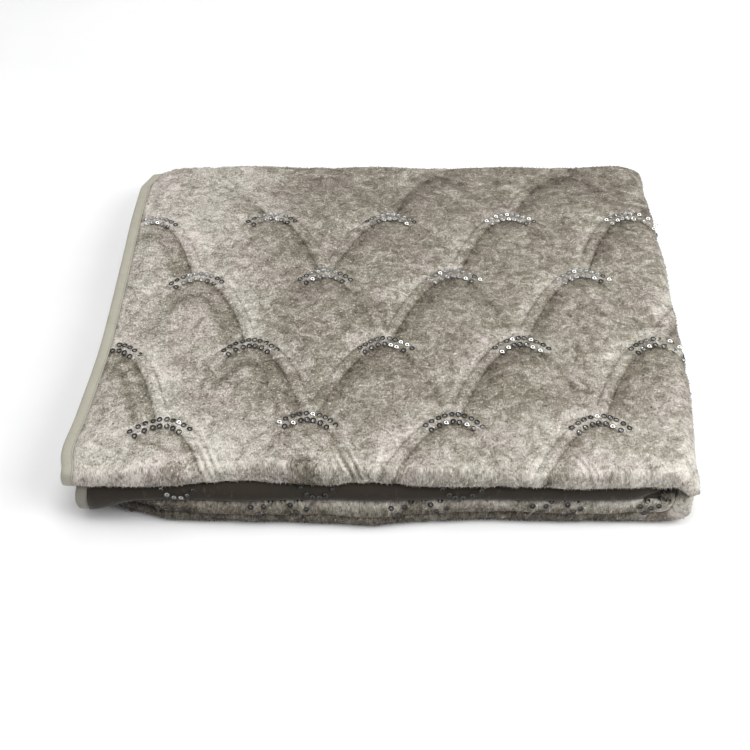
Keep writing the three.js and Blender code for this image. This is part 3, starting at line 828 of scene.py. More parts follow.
def nap_field(fold, quilting, along, row, length, flat_y):
    """How the pile leans at each place of the outer side, with painted light and shade laid over it."""
    path, section = fold.path, fold.section
    panel = np.array([PANEL_LIE_AND_SHADE[part] for part in path.parts])[:, None]
    front = (section.parts == "front")[None, :]
    on_top = (path.parts == "top")[:, None] | (path.parts == "wrap")[:, None]
    x = LEFT_END_TOP + length
    nap = quilting.nap(along, row)
    # Painted light on the top from its zones, and a painted highlight along the front fold
    lit = sum(zoned(zone, x=x, y=flat_y) for zone in TOP_LIE_LIGHT_AND_SHADE_ZONES) + 0.25 * bump(-1, 9, flat_y)
    dark = sum(d * bump(m, s, x) * ease(*zone, flat_y) for m, s, d, zone in DARK_PLACES_AND_HEM_SHADE)
    faded = FADED_NAP_AND_SHADE * ease(*FADED_Y, flat_y) * ease(*FADED_X, x)
    shown = (0.70 + 0.20 * bump(150, 90, flat_y)) * (1 - faded)
    lie_light_and_shade = np.where(on_top, panel + shown * nap + lit - dark, panel + 0.25 * nap)

    u, nv = path.u[:, None], path.nv[:, None]
    # At the front, the lower half of the wrap and the upper half of the inner fold get painted light, with
    # painted shade where the cloth faces down
    lower_wrap = (path.parts == "wrap")[:, None] * ease(0.3, -0.1, nv)
    upper_inner = (path.parts == "inner")[:, None] * ease(-0.2, 0.1, nv)
    under = front * (lower_wrap + upper_inner)
    under_light_and_shade = 1.0 - 1.6 * ease(-0.75, -1.0, nv)
    # The third panel's front: how the pile leans along it, with painted light on the upper half of its fold
    # and painted shade on the lower half
    third_lie_light_and_shade = sum(zoned(zone, x=u) for zone in THIRD_LIE_ZONES) + 0.9 * section.nv[None, :]
    third = (path.parts == "third")[:, None] & front
    bottom = (path.parts == "bottom")[:, None] & front
    lie_light_and_shade = lie_light_and_shade * (1 - 0.7 * under) + under * under_light_and_shade
    return lie_light_and_shade + third * third_lie_light_and_shade + bottom * zoned(BOTTOM_LIE_ZONE, x=u)


def binding_grid(fold, end, level, facing, sizes, plain=False):
    """The binding's outer and inner sides: the section carried on past the cloth's end."""
    width = sizes.binding_width / MM
    shares, thick, proud = np.array(BINDING_PROFILE[::-1] if facing > 0 else BINDING_PROFILE).T
    out = np.maximum(SEAM_GAP, shares * width)
    line = Line()
    line.rows = [(end - o, level, 0.0, facing) for o in out[:-1]]
    line.parts = ["binding"] * (len(out) - 1)
    line.close("binding", end - out[-1], level, facing)
    section = fold.section
    open_face = np.where(section.parts == "top", 1.0 if facing > 0 else 0.0, 0.0)
    front = section.parts == "front"
    open_face[front] = np.maximum(section.nv[front] * (facing > 0), np.maximum(-section.nu[front], 0))
    short_wave = np.sin(section.length / BINDING_RIPPLE["short"])
    long_wave = np.sin(section.length / BINDING_RIPPLE["long"] + 1)
    ripple = 1 + BINDING_RIPPLE["size"] * short_wave * long_wave
    raised = 0.0 if plain else 1.0
    half = thick[:, None] * fold.thickness / 2
    outer_offset = half + raised * proud[:, None] * (open_face * ripple)[None, :]
    inner_offset = -half + 0 * outer_offset
    return fold.points(line, outer_offset), fold.points(line, inner_offset), out


def build_binding(context, name, end, panel, facing):
    """One end of the satin binding as a closed, rounded strip."""
    fold, _ = get_fold(context)
    outer, inner, out = binding_grid(fold, end, fold.levels[panel], facing, context.scene.throw_sizes)
    outer, inner = outer + fold.origin, inner + fold.origin
    count = outer.shape[0] * outer.shape[1]
    outer_ids = np.arange(count).reshape(outer.shape[:2])
    inner_ids = outer_ids + count
    faces = shell_faces(outer_ids, inner_ids, np.arange(outer.shape[0]), np.arange(outer.shape[1]))
    across, along = np.meshgrid(out * MM, fold.flat_y * MM, indexing="ij")
    flat_map = np.stack([across, along], axis=-1).reshape(-1, 2)
    verts = np.concatenate([outer.reshape(-1, 3), inner.reshape(-1, 3)])
    shade = {"shade": np.full(len(verts), 0.0 if facing > 0 else 1.0)}
    return new_mesh(name, verts, faces, {"flat": np.concatenate([flat_map, flat_map])}, shade)


def face_place(length, flat_y):
    """The point on the cloth's face, its outward direction and the direction along the cloth."""
    fold = Store.fold
    i = np.interp(length, fold.path.length, np.arange(len(fold.path.length)))
    j = np.interp(-flat_y, -fold.flat_y, np.arange(len(fold.flat_y)))
    i0, j0 = min(int(i), len(fold.path.length) - 2), min(int(j), len(fold.flat_y) - 2)
    a, b = i - i0, j - j0
    f = Store.face
    point = ((1 - a) * (1 - b) * f[i0, j0] + a * (1 - b) * f[i0 + 1, j0]
             + (1 - a) * b * f[i0, j0 + 1] + a * b * f[i0 + 1, j0 + 1])
    along = Vector(f[i0 + 1, j0] - f[i0, j0]).normalized()
    down = Vector(f[i0, j0 + 1] - f[i0, j0]).normalized()
    return Vector(point), down.cross(along).normalized(), along


def sequin_rows(quilting, panel, first, last, row, count):
    """The sequins of a row of scallops, two staggered rows at each top: scallop, arc place, flat place."""
    half = 0.0 if row % 2 else 0.5
    number = math.ceil(first - half)
    while number + half <= last:
        for side, size in ((SEQUIN_ROW_GAP / 2, count + 2), (-SEQUIN_ROW_GAP / 2, count - 1)):
            spacing = SEQUIN_STEP / (1 + side * 2 * RISE / (PITCH / 2) ** 2)
            for index in range(size):
                step = index - (size - 1) / 2 + math.copysign(SEQUIN_STAGGER, side)
                leg = step * spacing / (PITCH / 2)
                slope = 2 * leg * RISE / (PITCH / 2)
                steep = math.hypot(1, slope)
                length, flat_y = quilting.flat_place(number + half + leg / 2, row - leg ** 2, panel)
                yield number + half, leg, length + side * slope / steep, flat_y + side / steep
        number += 1


def plain_normal(panel):
    """The way a panel faces apart from its quilting, at the places that have sequins."""
    return {"top": Vector((0, 0, 1)), "second": Vector((0, -1, 0.2)), "third": Vector((0, -1, 0.4))}[panel]


def sequin_look(rng, panel, number, leg, row, length):
    """One sequin's tone and how dark its rim is, both painted reflection and shade, and whether it mirrors
    the back lamp.
    """
    to_right = float(ease(-60, 80, LEFT_END_TOP + length))
    glint = panel == "top" and rng.random() < 0.05 + 0.17 * to_right
    at_end = 0.2 if number > 14 and rng.random() < 0.5 else 0.0
    # Sequins on the fronts below the top fold get painted shade, pale ones towards the back carry a painted
    # reflection, and the dark rim is a painted reflection, less of it to the right
    lit = {"top": 0.12, "second": at_end, "third": 0.0}[panel]
    tone = lit + (0.35 * rng.random() if lit else 0.05)
    toward_back = ease(1.5, 3.5, row)
    pale = float(toward_back * max(ease(0.32, 0.10, abs(leg)), to_right * ease(0.34, 0.18, leg)))
    tone += pale * (0.35 + 0.30 * rng.random())
    rim = (1.0 - 0.3 * to_right) * (1 - 0.7 * pale)
    return (1.0, 0.0, True) if glint else (tone, rim, False)


def add_sequin(verts, faces, middle, normal, along, turn, radius, cup):
    """One turned sequin with a hole, as rings of vertices round its profile."""
    first_axis = (along - normal * along.dot(normal)).normalized()
    second_axis = normal.cross(first_axis)
    base = len(verts)
    count = SEQUIN_SEGMENTS
    for r, h in SEQUIN_PROFILE:
        for k in range(count):
            angle = turn + math.tau * k / count
            out = first_axis * math.cos(angle) + second_axis * math.sin(angle)
            verts.append(middle + out * (r * radius) + normal * (h * cup * radius + SEQUIN_CLEARANCE))
    for ring in range(len(SEQUIN_PROFILE)):
        here, after = base + ring * count, base + (ring + 1) % len(SEQUIN_PROFILE) * count
        for k in range(count):
            n = (k + 1) % count
            faces.append((here + k, after + k, after + n, here + n))


def build_sequins(context):
    """Cupped sequins with a hole, laid along the tops of the scallops that show."""
    sizes = context.scene.throw_sizes
    fold, quilting = get_fold(context)
    radius = sizes.sequin_size / MM / 2
    rng = random.Random(SEQUIN_SEED)
    camera = Vector((fold.origin[0], fold.origin[1] - CAMERA_BACK, CAMERA_HEIGHT))
    lamp = Vector(BACK_LAMP_PLACE) / MM
    verts, faces, glints, rims = [], [], [], []
    for panel, first, last, row in SEQUIN_ROWS:
        places = sequin_rows(quilting, panel, first, last, row, sizes.sequins_in_row)
        for number, leg, length, flat_y in places:
            if panel == "top" and length < SEQUIN_FROM_EDGE:
                continue
            point, face_normal, along = face_place(length, flat_y)
            tone, rim, glint = sequin_look(rng, panel, number, leg, row, length)
            lean = Vector([rng.gauss(0, spread) for spread in SEQUIN_LEAN])
            if glint:
                normal = ((camera - point).normalized() + (lamp - point).normalized()).normalized()
                point = point + face_normal * (GLINT_LIFT * radius * normal.cross(face_normal).length)
            else:
                flatter = 0.0 if panel == "top" and length > quilting.wrap_length else 1.5
                normal = (face_normal + plain_normal(panel) * flatter + lean).normalized()
            turn = rng.random() * math.tau
            add_sequin(verts, faces, point, normal, along, turn, radius, GLINT_CUP if glint else 1.0)
            # Each sequin's painted tone, 1 where it mirrors the lamp, and its painted dark rim
            glints += [tone] * (len(SEQUIN_PROFILE) * SEQUIN_SEGMENTS)
            for r, _ in SEQUIN_PROFILE:
                rims += [rim * float(ease(0.5, 0.7, r))] * SEQUIN_SEGMENTS
    return new_mesh("sequins", np.array([tuple(v) for v in verts]), faces, {}, {"glint": glints, "rim": rims})


class Nodes:
    """Adds and links shader nodes."""

    def __init__(self, tree):
        self.tree = tree

    def add(self, kind, settings=None, **inputs):
        """A node with its settings and inputs; an input is a number, a colour or another node's output."""
        node = self.tree.nodes.new(kind)
        for key, value in (settings or {}).items():
            setattr(node, key, value)
        for key, value in inputs.items():
            self.put(node, key.replace("_", " "), value)
        return node

    def put(self, node, socket, value):
        target = node.inputs[int(socket)] if str(socket).isdigit() else node.inputs[socket]
        if isinstance(value, bpy.types.NodeSocket):
            self.tree.links.new(value, target)
        else:
            target.default_value = value

    def group(self, name, **inputs):
        """A shared effect."""
        return self.add("ShaderNodeGroup", {"node_tree": groups()[name]}, **inputs).outputs

    def value_at(self, name):
        """A value kept at the piece's vertices."""
        return self.add("ShaderNodeAttribute", {"attribute_name": name}).outputs["Fac"]

    def uv(self, name):
        """One of the piece's flat maps."""
        return self.add("ShaderNodeUVMap", {"uv_map": name}).outputs["UV"]

    def fit(self, value, start, end, low=0.0, high=1.0):
        """The value taken from start and end to low and high, and held there."""
        node = self.add("ShaderNodeMapRange", Value=value)
        for socket, number in (("From Min", start), ("From Max", end), ("To Min", low), ("To Max", high)):
            self.put(node, socket, number)
        return node.outputs["Result"]

    def scaled(self, place, along, across):
        """A place multiplied by one number along its first direction and by another across it."""
        scale = self.add("ShaderNodeCombineXYZ", X=along, Y=across, Z=across)
        node = self.add("ShaderNodeVectorMath", {"operation": "MULTIPLY"})
        self.put(node, 0, place)
        self.put(node, 1, scale.outputs[0])
        return node.outputs[0]

    def beat(self, length, spacing):
        """Falls from 0.5 to 0 and rises again once in each spacing of the length."""
        part = self.math("FRACT", self.math("DIVIDE", length, spacing))
        return self.math("ABSOLUTE", self.math("SUBTRACT", part, 0.5))

    def math(self, operation, first, second=0.0, third=0.0):
        node = self.tree.nodes.new("ShaderNodeMath")
        node.operation = operation
        for index, value in enumerate((first, second, third)):
            if index < len(node.inputs):
                self.put(node, index, value)
        return node.outputs[0]

    def ramp(self, factor, stops):
        node = self.tree.nodes.new("ShaderNodeValToRGB")
        while len(node.color_ramp.elements) < len(stops):
            node.color_ramp.elements.new(0.5)
        for element, (position, colour) in zip(node.color_ramp.elements, stops):
            element.position = position
            element.color = (*colour, 1)
        self.put(node, "Fac", factor)
        return node.outputs["Color"]


def new_group(name, inputs, outputs):
    """An empty shader node group with named sockets."""
    tree = bpy.data.node_groups.new(name, "ShaderNodeTree")
    for socket, kind, default in inputs:
        made = tree.interface.new_socket(name=socket, in_out="INPUT", socket_type=kind)
        if default is not None:
            made.default_value = default
    for socket, kind in outputs:
        tree.interface.new_socket(name=socket, in_out="OUTPUT", socket_type=kind)
    nodes = Nodes(tree)
    return tree, nodes, nodes.add("NodeGroupInput").outputs, nodes.add("NodeGroupOutput")


def thread_grain_group():
    """Fine uneven threads, longer one way than the other, for velvet pile and satin alike."""
    tree, nodes, given, out = new_group(
        "Thread Grain",
        [("Place", "NodeSocketVector", None), ("Thread Size", "NodeSocketFloat", 0.001),
         ("Stretch", "NodeSocketFloat", 2.0)],
        [("Tone", "NodeSocketFloat"), ("Height", "NodeSocketFloat")])
    per_metre = nodes.math("DIVIDE", 1.0, given["Thread Size"])
    across = nodes.math("DIVIDE", per_metre, given["Stretch"])
    place = nodes.scaled(given["Place"], across, per_metre)
    fine = nodes.add("ShaderNodeTexNoise", Vector=place, Scale=1.0, Detail=3.0, Roughness=0.62)
    nodes.put(out, "Tone", fine.outputs["Fac"])
    coarse = nodes.add("ShaderNodeTexNoise", Vector=place, Scale=2.1, Detail=2.0, Roughness=0.5)
    height = nodes.math("ADD", nodes.math("MULTIPLY", fine.outputs["Fac"], 0.6),
                        nodes.math("MULTIPLY", coarse.outputs["Fac"], 0.4))
    nodes.put(out, "Height", height)
    return tree


def crushed_pile_group():
    """The mottling of crushed velvet: soft patches where the pile lies one way or the other."""
    tree, nodes, given, out = new_group(
        "Crushed Pile",
        [("Place", "NodeSocketVector", None), ("Patch Size", "NodeSocketFloat", 0.02)],
        [("Lie", "NodeSocketFloat")])
    per_metre = nodes.math("DIVIDE", 1.0, given["Patch Size"])
    along = nodes.math("MULTIPLY", per_metre, 0.9)
    place = nodes.scaled(given["Place"], along, per_metre)
    patches = nodes.add("ShaderNodeTexNoise", Vector=place, Scale=1.0, Detail=6.0, Roughness=0.68,
                        Distortion=0.9)
    nodes.put(out, "Lie", nodes.math("SUBTRACT", nodes.math("MULTIPLY", patches.outputs["Fac"], 2.0), 1.0))
    return tree


def stitch_group():
    """The two stitched lines of each scallop, from scallop coordinates: a groove, and the stitches in it."""
    tree, nodes, given, out = new_group(
        "Scallop Stitching",
        [("Cells", "NodeSocketVector", None), ("Pitch", "NodeSocketFloat", PITCH * MM),
         ("Rise", "NodeSocketFloat", RISE * MM), ("Band Half", "NodeSocketFloat", BAND_HALF * MM),
         ("Groove Width", "NodeSocketFloat", 0.0028), ("Stitch Length", "NodeSocketFloat", 0.0034)],
        [("Groove", "NodeSocketFloat"), ("Thread", "NodeSocketFloat")])
    m = nodes.math
    split = nodes.add("ShaderNodeSeparateXYZ", Vector=given["Cells"])
    along, row = split.outputs["X"], split.outputs["Y"]
    rise = m("FRACT", row)
    odd = m("FLOORED_MODULO", m("FLOOR", row), 2.0)

    def across(shift):
        return m("MULTIPLY", m("SUBTRACT", m("FRACT", m("ADD", m("SUBTRACT", along, shift), 0.5)), 0.5), 2.0)

    def slope(place):
        steep = m("DIVIDE", m("MULTIPLY", place, 4.0), given["Pitch"])
        level = m("DIVIDE", 1.0, given["Rise"])
        return m("SQRT", m("ADD", m("MULTIPLY", steep, steep), m("MULTIPLY", level, level)))

    def run(place):
        flat = m("MULTIPLY", place, m("MULTIPLY", given["Pitch"], 0.5))
        fall = m("MULTIPLY", m("MULTIPLY", place, place), given["Rise"])
        return m("SQRT", m("ADD", m("MULTIPLY", flat, flat), m("MULTIPLY", fall, fall)))

    own = across(m("MULTIPLY", odd, 0.5))
    front = across(m("MULTIPLY", m("SUBTRACT", 1.0, odd), 0.5))
    own_height = m("ADD", m("MULTIPLY", own, own), rise)
    own_gap = m("DIVIDE", m("ABSOLUTE", m("SUBTRACT", own_height, 1.0)), slope(own))
    front_gap = m("DIVIDE", m("ADD", m("MULTIPLY", front, front), rise), slope(front))
    nearest = m("MINIMUM", own_gap, front_gap)
    use_front = m("LESS_THAN", front_gap, own_gap)
    length = m("ADD", m("MULTIPLY", run(front), use_front),
               m("MULTIPLY", run(own), m("SUBTRACT", 1.0, use_front)))
    off_line = m("DIVIDE", m("ABSOLUTE", m("SUBTRACT", nearest, given["Band Half"])), given["Groove Width"])
    groove = m("MAXIMUM", m("SUBTRACT", 1.0, off_line), 0.0)
    stitch = m("LESS_THAN", nodes.beat(length, given["Stitch Length"]), 0.36)
    narrow = m("LESS_THAN", off_line, 0.16)
    nodes.put(out, "Groove", m("MULTIPLY", groove, groove))
    nodes.put(out, "Thread", m("MULTIPLY", stitch, narrow))
    return tree


def pleat_group():
    """A few fine slanting pleats round one place of the front fold."""
    tree, nodes, given, out = new_group(
        "Gathered Pleats",
        [("Place", "NodeSocketVector", None), ("Middle", "NodeSocketFloat", 0.1),
         ("Pleat Width", "NodeSocketFloat", 0.0062), ("Reach", "NodeSocketFloat", 0.009)],
        [("Lines", "NodeSocketFloat")])
    m = nodes.math
    split = nodes.add("ShaderNodeSeparateXYZ", Vector=given["Place"])
    slant = m("ADD", m("SUBTRACT", split.outputs["X"], given["Middle"]),
              m("MULTIPLY", split.outputs["Y"], GATHER_SLANT))
    wave = m("SINE", m("MULTIPLY", m("DIVIDE", slant, given["Pleat Width"]), math.tau))
    beside = m("POWER", m("DIVIDE", slant, given["Reach"]), 2.0)
    beyond = m("POWER", m("DIVIDE", m("SUBTRACT", split.outputs["Y"], 0.004), 0.013), 2.0)
    fade = m("EXPONENT", m("MULTIPLY", m("ADD", beside, beyond), -1.0))
    nodes.put(out, "Lines", m("MULTIPLY", wave, fade))
    return tree


def groups():
    """The shared effects, built once."""
    made = {}
    for name, build in (("Thread Grain", thread_grain_group), ("Crushed Pile", crushed_pile_group),
                        ("Scallop Stitching", stitch_group), ("Gathered Pleats", pleat_group)):
        made[name] = bpy.data.node_groups.get(name) or build()
    return made


def new_material(name):
    """A material with a Principled shader and a node helper."""
    material = bpy.data.materials.new(name)
    material.use_nodes = True
    shader = material.node_tree.nodes["Principled BSDF"]
    return material, Nodes(material.node_tree), shader


def blend(nodes, share_node, first, second):
    """A value between two others."""
    mixed = nodes.add("ShaderNodeMix", {"data_type": "FLOAT"})
    nodes.put(mixed, 0, share_node)
    nodes.put(mixed, 2, first)
    nodes.put(mixed, 3, second)
    return mixed.outputs[0]


def velvet_material(colours):
    """Crushed velvet: mottled pile, fine grain, stitched grooves and a soft sheen."""
    material, nodes, shader = new_material("crushed_velvet")
    m = nodes.math
    place, cells = nodes.uv("flat"), nodes.uv("scallops")
    split = nodes.add("ShaderNodeSeparateXYZ", Vector=place).outputs
    # The pile's lean together with its painted light and shade, kept at the vertices
    lean = nodes.value_at("pile_lie_light_and_shade")

    wide = nodes.group("Crushed Pile", Place=place, Patch_Size=WIDE_PATCH)["Lie"]
    small = nodes.group("Crushed Pile", Place=place, Patch_Size=SMALL_PATCH)["Lie"]
    mottle = m("ADD", m("MULTIPLY", wide, TONE_OF["wide"]), m("MULTIPLY", small, TONE_OF["small"]))

    lying = nodes.group("Thread Grain", Place=place, **LYING_GRAIN)
    upright = nodes.group("Thread Grain", Place=place, **UPRIGHT_GRAIN)
    near_front = nodes.fit(split["Y"], *UPRIGHT_FRONT)
    upright_share = m("MAXIMUM", nodes.fit(small, *UPRIGHT_PATCHES), near_front)
    grain_tone = blend(nodes, upright_share, lying["Tone"], upright["Tone"])
    grain_height = blend(nodes, upright_share, lying["Height"], upright["Height"])

    flecks = nodes.add("ShaderNodeTexNoise", Vector=place, Scale=FLECKS_PER_METRE, Detail=1.0).outputs["Fac"]
    bright = m("MAXIMUM", m("SUBTRACT", flecks, BRIGHT_FLECK_FROM), 0.0)
    dim = m("MAXIMUM", m("SUBTRACT", DIM_FLECK_FROM, flecks), 0.0)
    speckle = m("ADD", m("MULTIPLY", m("SUBTRACT", grain_tone, 0.5), TONE_OF["grain"]),
                m("MULTIPLY", m("SUBTRACT", bright, dim), TONE_OF["flecks"]))
    speckle = m("MULTIPLY", speckle, nodes.fit(lean, *CALM_LIE))
    speckle = m("MULTIPLY", speckle, nodes.fit(split["X"], *SMOOTHER_TO_RIGHT))

    pleats = 0.0
    for middle, size in GATHERS:
        lines = nodes.group("Gathered Pleats", Place=place, Middle=(middle - LEFT_END_TOP) * MM)["Lines"]
        pleats = m("ADD", pleats, m("MULTIPLY", lines, size))
    seams = nodes.group("Scallop Stitching", Cells=cells)
    groove = m("MULTIPLY", seams["Groove"], m("ADD", HIDDEN_SEAM_SHOWS, nodes.value_at("seam_show")))

    tone = m("ADD", m("ADD", lean, mottle), speckle)
    # Painted shade in the stitched grooves, and painted light and shade across the gathered pleats
    tone = m("ADD", tone, m("MULTIPLY", groove, TONE_OF["groove"]))
    tone = m("ADD", tone, m("MULTIPLY", pleats, TONE_OF["pleats"]))
    level = m("ADD", m("MULTIPLY", tone, TONE_TO_RAMP), 0.5)
    shades = (colours.velvet_dark, colours.velvet_middle, colours.velvet_light)
    dark, middle, light = (tuple(colour) for colour in shades)
    # The deepest stop is where the painted shade on the second panel's front lands
    painted_deep_shade = tuple(0.5 * channel for channel in dark)
    bright_tip = tuple(min(1.0, 1.3 * channel) for channel in light)
    pile = nodes.ramp(level, ((0.0, painted_deep_shade), (0.14, dark), (0.5, middle), (0.86, light), (1.0, bright_tip)))
    hue = nodes.add("ShaderNodeTexNoise", Vector=place, Scale=CAST_PER_METRE, Detail=2.0).outputs["Fac"]
    tinted = nodes.add("ShaderNodeMix", {"data_type": "RGBA", "blend_type": "MULTIPLY"}, Factor=1.0)
    nodes.put(tinted, 6, pile)
    nodes.put(tinted, 7, nodes.ramp(hue, CAST))
    nodes.put(shader, "Base Color", tinted.outputs[2])
    nodes.put(shader, "Roughness", m("ADD", 0.62, m("MULTIPLY", grain_tone, 0.25)))

    depth = 0.0
    parts = {"grain": grain_height, "small": small, "groove": groove, "thread": seams["Thread"]}
    for name, part in {**parts, "pleats": pleats}.items():
        depth = m("ADD", depth, m("MULTIPLY", part, DEPTH_OF[name]))
    raised = nodes.add("ShaderNodeBump", Strength=0.75, Distance=0.0011, Height=depth)
    nodes.put(shader, "Normal", raised.outputs["Normal"])
    shader.inputs["Sheen Weight"].default_value = 0.28
    shader.inputs["Sheen Roughness"].default_value = 0.42
    shader.inputs["Sheen Tint"].default_value = (0.95, 0.92, 0.88, 1)
    shader.inputs["Specular IOR Level"].default_value = 0.25
    return material


def satin_material(colours):
    """Satin tape: fine ribs across it, a seam line near its inner edge and a soft gloss."""
    material, nodes, shader = new_material("satin_tape")
    m = nodes.math
    place = nodes.uv("flat")
    split = nodes.add("ShaderNodeSeparateXYZ", Vector=place).outputs
    ribs = nodes.group("Thread Grain", Place=place, Thread_Size=0.0007, Stretch=7.0)
    patches = nodes.group("Crushed Pile", Place=place, Patch_Size=0.018)["Lie"]
    off_seam = m("DIVIDE", m("ABSOLUTE", m("SUBTRACT", split["X"], SATIN_SEAM_AT)), SATIN_SEAM_HALF)
    seam = m("MAXIMUM", m("SUBTRACT", 1.0, off_seam), 0.0)
    stitch = m("MULTIPLY", seam, m("LESS_THAN", nodes.beat(split["Y"], SATIN_STITCH), 0.38))
    tone = m("ADD", m("MULTIPLY", m("SUBTRACT", ribs["Tone"], 0.5), 0.30), m("MULTIPLY", patches, 0.16))
    shadow = m("MULTIPLY", nodes.value_at("shade"), 0.40)
    tone = m("SUBTRACT", tone, m("ADD", m("MULTIPLY", seam, 0.22), shadow))
    base = Vector(colours.satin)
    dark, light = tuple(base * 0.62), tuple(base * 1.22)
    tint = nodes.ramp(m("ADD", tone, 0.5), ((0.2, dark), (0.5, tuple(base)), (0.85, light)))
    nodes.put(shader, "Base Color", tint)
    nodes.put(shader, "Roughness", m("ADD", 0.36, m("MULTIPLY", ribs["Tone"], 0.18)))
    depth = m("ADD", m("MULTIPLY", ribs["Height"], 0.35), m("MULTIPLY", patches, 0.5))
    depth = m("SUBTRACT", depth, m("MULTIPLY", stitch, 0.9))
    raised = nodes.add("ShaderNodeBump", Strength=0.5, Distance=0.0006, Height=depth)
    nodes.put(shader, "Normal", raised.outputs["Normal"])
    shader.inputs["Sheen Weight"].default_value = 0.15
    shader.inputs["Sheen Roughness"].default_value = 0.3
    return material


def sequin_material(colours):
    """Silvered film with faint rolling marks; its colour carries painted reflection and shade, a darker rim
    and a tone of its own on each sequin.
    """
    material, nodes, shader = new_material("silver_sequin")
    m = nodes.math
    glint, rim = nodes.value_at("glint"), nodes.value_at("rim")
    place = nodes.add("ShaderNodeTexCoord").outputs["Object"]
    marks = nodes.group("Thread Grain", Place=place, Thread_Size=0.0006, Stretch=3.0)["Tone"]
    base = Vector(colours.sequin)
    shade = m("SUBTRACT", glint, m("MULTIPLY", rim, 0.6))
    tint = nodes.ramp(shade, ((0.0, tuple(base * 0.05)), (0.5, tuple(base * 0.60)), (1.0, tuple(base))))
    nodes.put(shader, "Base Color", tint)
    nodes.put(shader, "Roughness", m("ADD", 0.05, m("MULTIPLY", marks, 0.12)))
    mirror = m("GREATER_THAN", glint, 0.95)
    nodes.put(shader, "Metallic", m("ADD", 0.65, m("MULTIPLY", mirror, 0.35)))
    return material


def floor_material():
    """A plain pale floor with a faint grain."""
    material, nodes, shader = new_material("pale_floor")
    place = nodes.add("ShaderNodeTexCoord").outputs["Object"]
    faint = nodes.add("ShaderNodeTexNoise", Vector=place, Scale=9.0, Detail=3.0)
    pale = nodes.ramp(faint.outputs["Fac"], ((0.3, (0.90, 0.90, 0.90)), (0.7, (0.93, 0.93, 0.93))))
    nodes.put(shader, "Base Color", pale)
    shader.inputs["Roughness"].default_value = 0.9
    return material


def finish_piece(piece, material, slot, *nodes):
    """Gives a piece its material and ties it to the frame."""
    piece.data.materials.append(material)
    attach(piece, "root")
    if nodes:
        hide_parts(*nodes)


class THROW_OT_cloth(bpy.types.Operator):
    """Build the folded, quilted velvet cloth"""

    bl_idname = "throw.cloth"
    bl_label = "Quilted velvet"

    def execute(self, context):
        Store.cloth = build_cloth(context)
        finish_piece(Store.cloth, velvet_material(context.scene.throw_colours), "velvet", "quilted_cloth")
        return {"FINISHED"}


class THROW_OT_pile(bpy.types.Operator):
    """Add the tufts of longer pile on the folds"""

    bl_idname = "throw.pile"
    bl_label = "Pile tufts"

    def execute(self, context):
        if Store.face is None:
            raise RuntimeError("the cloth is built before its pile")
        Store.pile = build_pile(context)
        finish_piece(Store.pile, Store.cloth.data.materials[0], "velvet")
        return {"FINISHED"}


class THROW_OT_binding(bpy.types.Operator):
    """Build the satin binding on the two ends that show"""

    bl_idname = "throw.binding"
    bl_label = "Satin binding"

    def execute(self, context):
        satin = satin_material(context.scene.throw_colours)
        ends = (("satin_binding_top", LEFT_END_TOP, 0, 1, "binding_top"),
                ("satin_binding_lower", LEFT_END_SECOND, 1, -1, "binding_lower"))
        Store.bindings = []
        for name, end, panel, facing, node in ends:
            piece = build_binding(context, name, end, panel, facing)
            finish_piece(piece, satin, "satin_binding", node)
            Store.bindings.append(piece)
        return {"FINISHED"}


class THROW_OT_sequins(bpy.types.Operator):
    """Lay the sequins along the tops of the scallops"""

    bl_idname = "throw.sequins"
    bl_label = "Sequins"

    def execute(self, context):
        if Store.face is None:
            raise RuntimeError("the cloth is built before its sequins")
        Store.sequins = build_sequins(context)
        Store.sequins.data.materials.append(sequin_material(context.scene.throw_colours))
        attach(Store.sequins, "root")
        return {"FINISHED"}


class THROW_OT_declare(bpy.types.Operator):
    """Work out the cloth's flat size and list its bindings, keeping neither"""

    bl_idname = "throw.declare"
    bl_label = "Flat size"

    def execute(self, context):
        fold, _ = get_fold(context)
        fold.flat_size()
        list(Store.bindings)
        return {"FINISHED"}


class THROW_OT_stage(bpy.types.Operator):
    """Set the floor, the lights and the camera"""

    bl_idname = "throw.stage"
    bl_label = "Stage"

    def execute(self, context):
        fold, _ = get_fold(context)
        build_stage(context, fold)
        return {"FINISHED"}


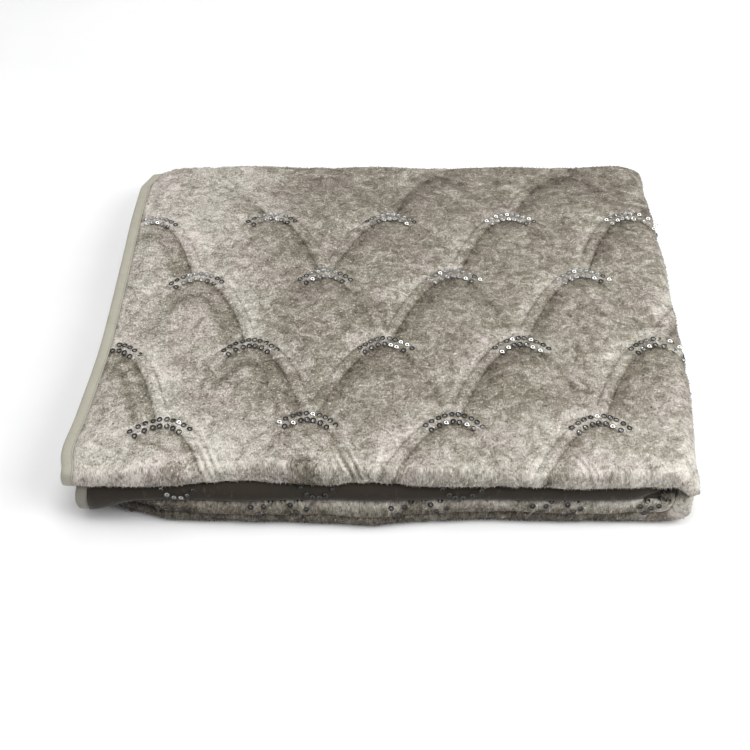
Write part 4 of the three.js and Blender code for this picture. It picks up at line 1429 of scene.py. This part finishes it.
def build_stage(context, fold):
    """A pale floor, soft lights and a camera at the photographed angle."""
    scene = context.scene
    mesh = bpy.data.meshes.new("floor")
    half = FLOOR_HALF
    corners = [(-half, -half, 0), (half, -half, 0), (half, half, 0), (-half, half, 0)]
    mesh.from_pydata(corners, [], [(0, 1, 2, 3)])
    floor = bpy.data.objects.new("floor", mesh)
    scene.collection.objects.link(floor)
    mesh.materials.append(floor_material())

    for name, place, size, power, mirrored in LAMPS:
        data = bpy.data.lights.new(name, "AREA")
        data.shape = "DISK"
        data.size = size
        data.energy = power
        lamp = bpy.data.objects.new(name, data)
        lamp.location = place
        lamp.visible_glossy = mirrored
        lamp.rotation_euler = (-Vector(place)).to_track_quat("-Z", "Y").to_euler()
        scene.collection.objects.link(lamp)

    world = bpy.data.worlds.new("studio")
    world.use_nodes = True
    world.node_tree.nodes["Background"].inputs["Color"].default_value = (0.86, 0.88, 0.90, 1)
    world.node_tree.nodes["Background"].inputs["Strength"].default_value = 0.2
    scene.world = world
    scene.view_settings.view_transform = "Standard"

    data = bpy.data.cameras.new("camera")
    data.lens = data.sensor_width * CAMERA_FOCUS_PX / IMAGE_WIDTH_PX
    camera = bpy.data.objects.new("camera", data)
    camera.location = (fold.origin[0] * MM, (fold.origin[1] - CAMERA_BACK) * MM, CAMERA_HEIGHT * MM)
    camera.rotation_euler = (math.radians(90 - CAMERA_ELEVATION), 0, 0)
    scene.collection.objects.link(camera)
    scene.camera = camera


STEPS = (THROW_OT_cloth, THROW_OT_pile, THROW_OT_binding, THROW_OT_sequins, THROW_OT_declare, THROW_OT_stage)


class THROW_PT_panel(bpy.types.Panel):
    """Lists the throw's pieces, sizes and colours"""

    bl_idname = "THROW_PT_panel"
    bl_label = "Folded throw"
    bl_space_type = "VIEW_3D"
    bl_region_type = "UI"
    bl_category = "Throw"

    def draw(self, context):
        for group in (context.scene.throw_sizes, context.scene.throw_colours):
            column = self.layout.column(align=True)
            for name in group.__annotations__:
                column.prop(group, name)
        for step in STEPS:
            self.layout.operator(step.bl_idname)


CLASSES = (ThrowSizes, ThrowColours, *STEPS, THROW_PT_panel)


def register():
    """Registers the classes and hangs the sizes and colours on the scene."""
    for each in CLASSES:
        bpy.utils.register_class(each)
    bpy.types.Scene.throw_sizes = PointerProperty(type=ThrowSizes)
    bpy.types.Scene.throw_colours = PointerProperty(type=ThrowColours)


def unregister():
    """Takes them off again."""
    del bpy.types.Scene.throw_colours
    del bpy.types.Scene.throw_sizes
    for each in reversed(CLASSES):
        bpy.utils.unregister_class(each)


def main():
    """Builds every piece in order."""
    register()
    bpy.ops.throw.cloth()
    bpy.ops.throw.pile()
    bpy.ops.throw.binding()
    bpy.ops.throw.sequins()
    bpy.ops.throw.declare()
    bpy.ops.throw.stage()


if __name__ == "__main__":
    main()
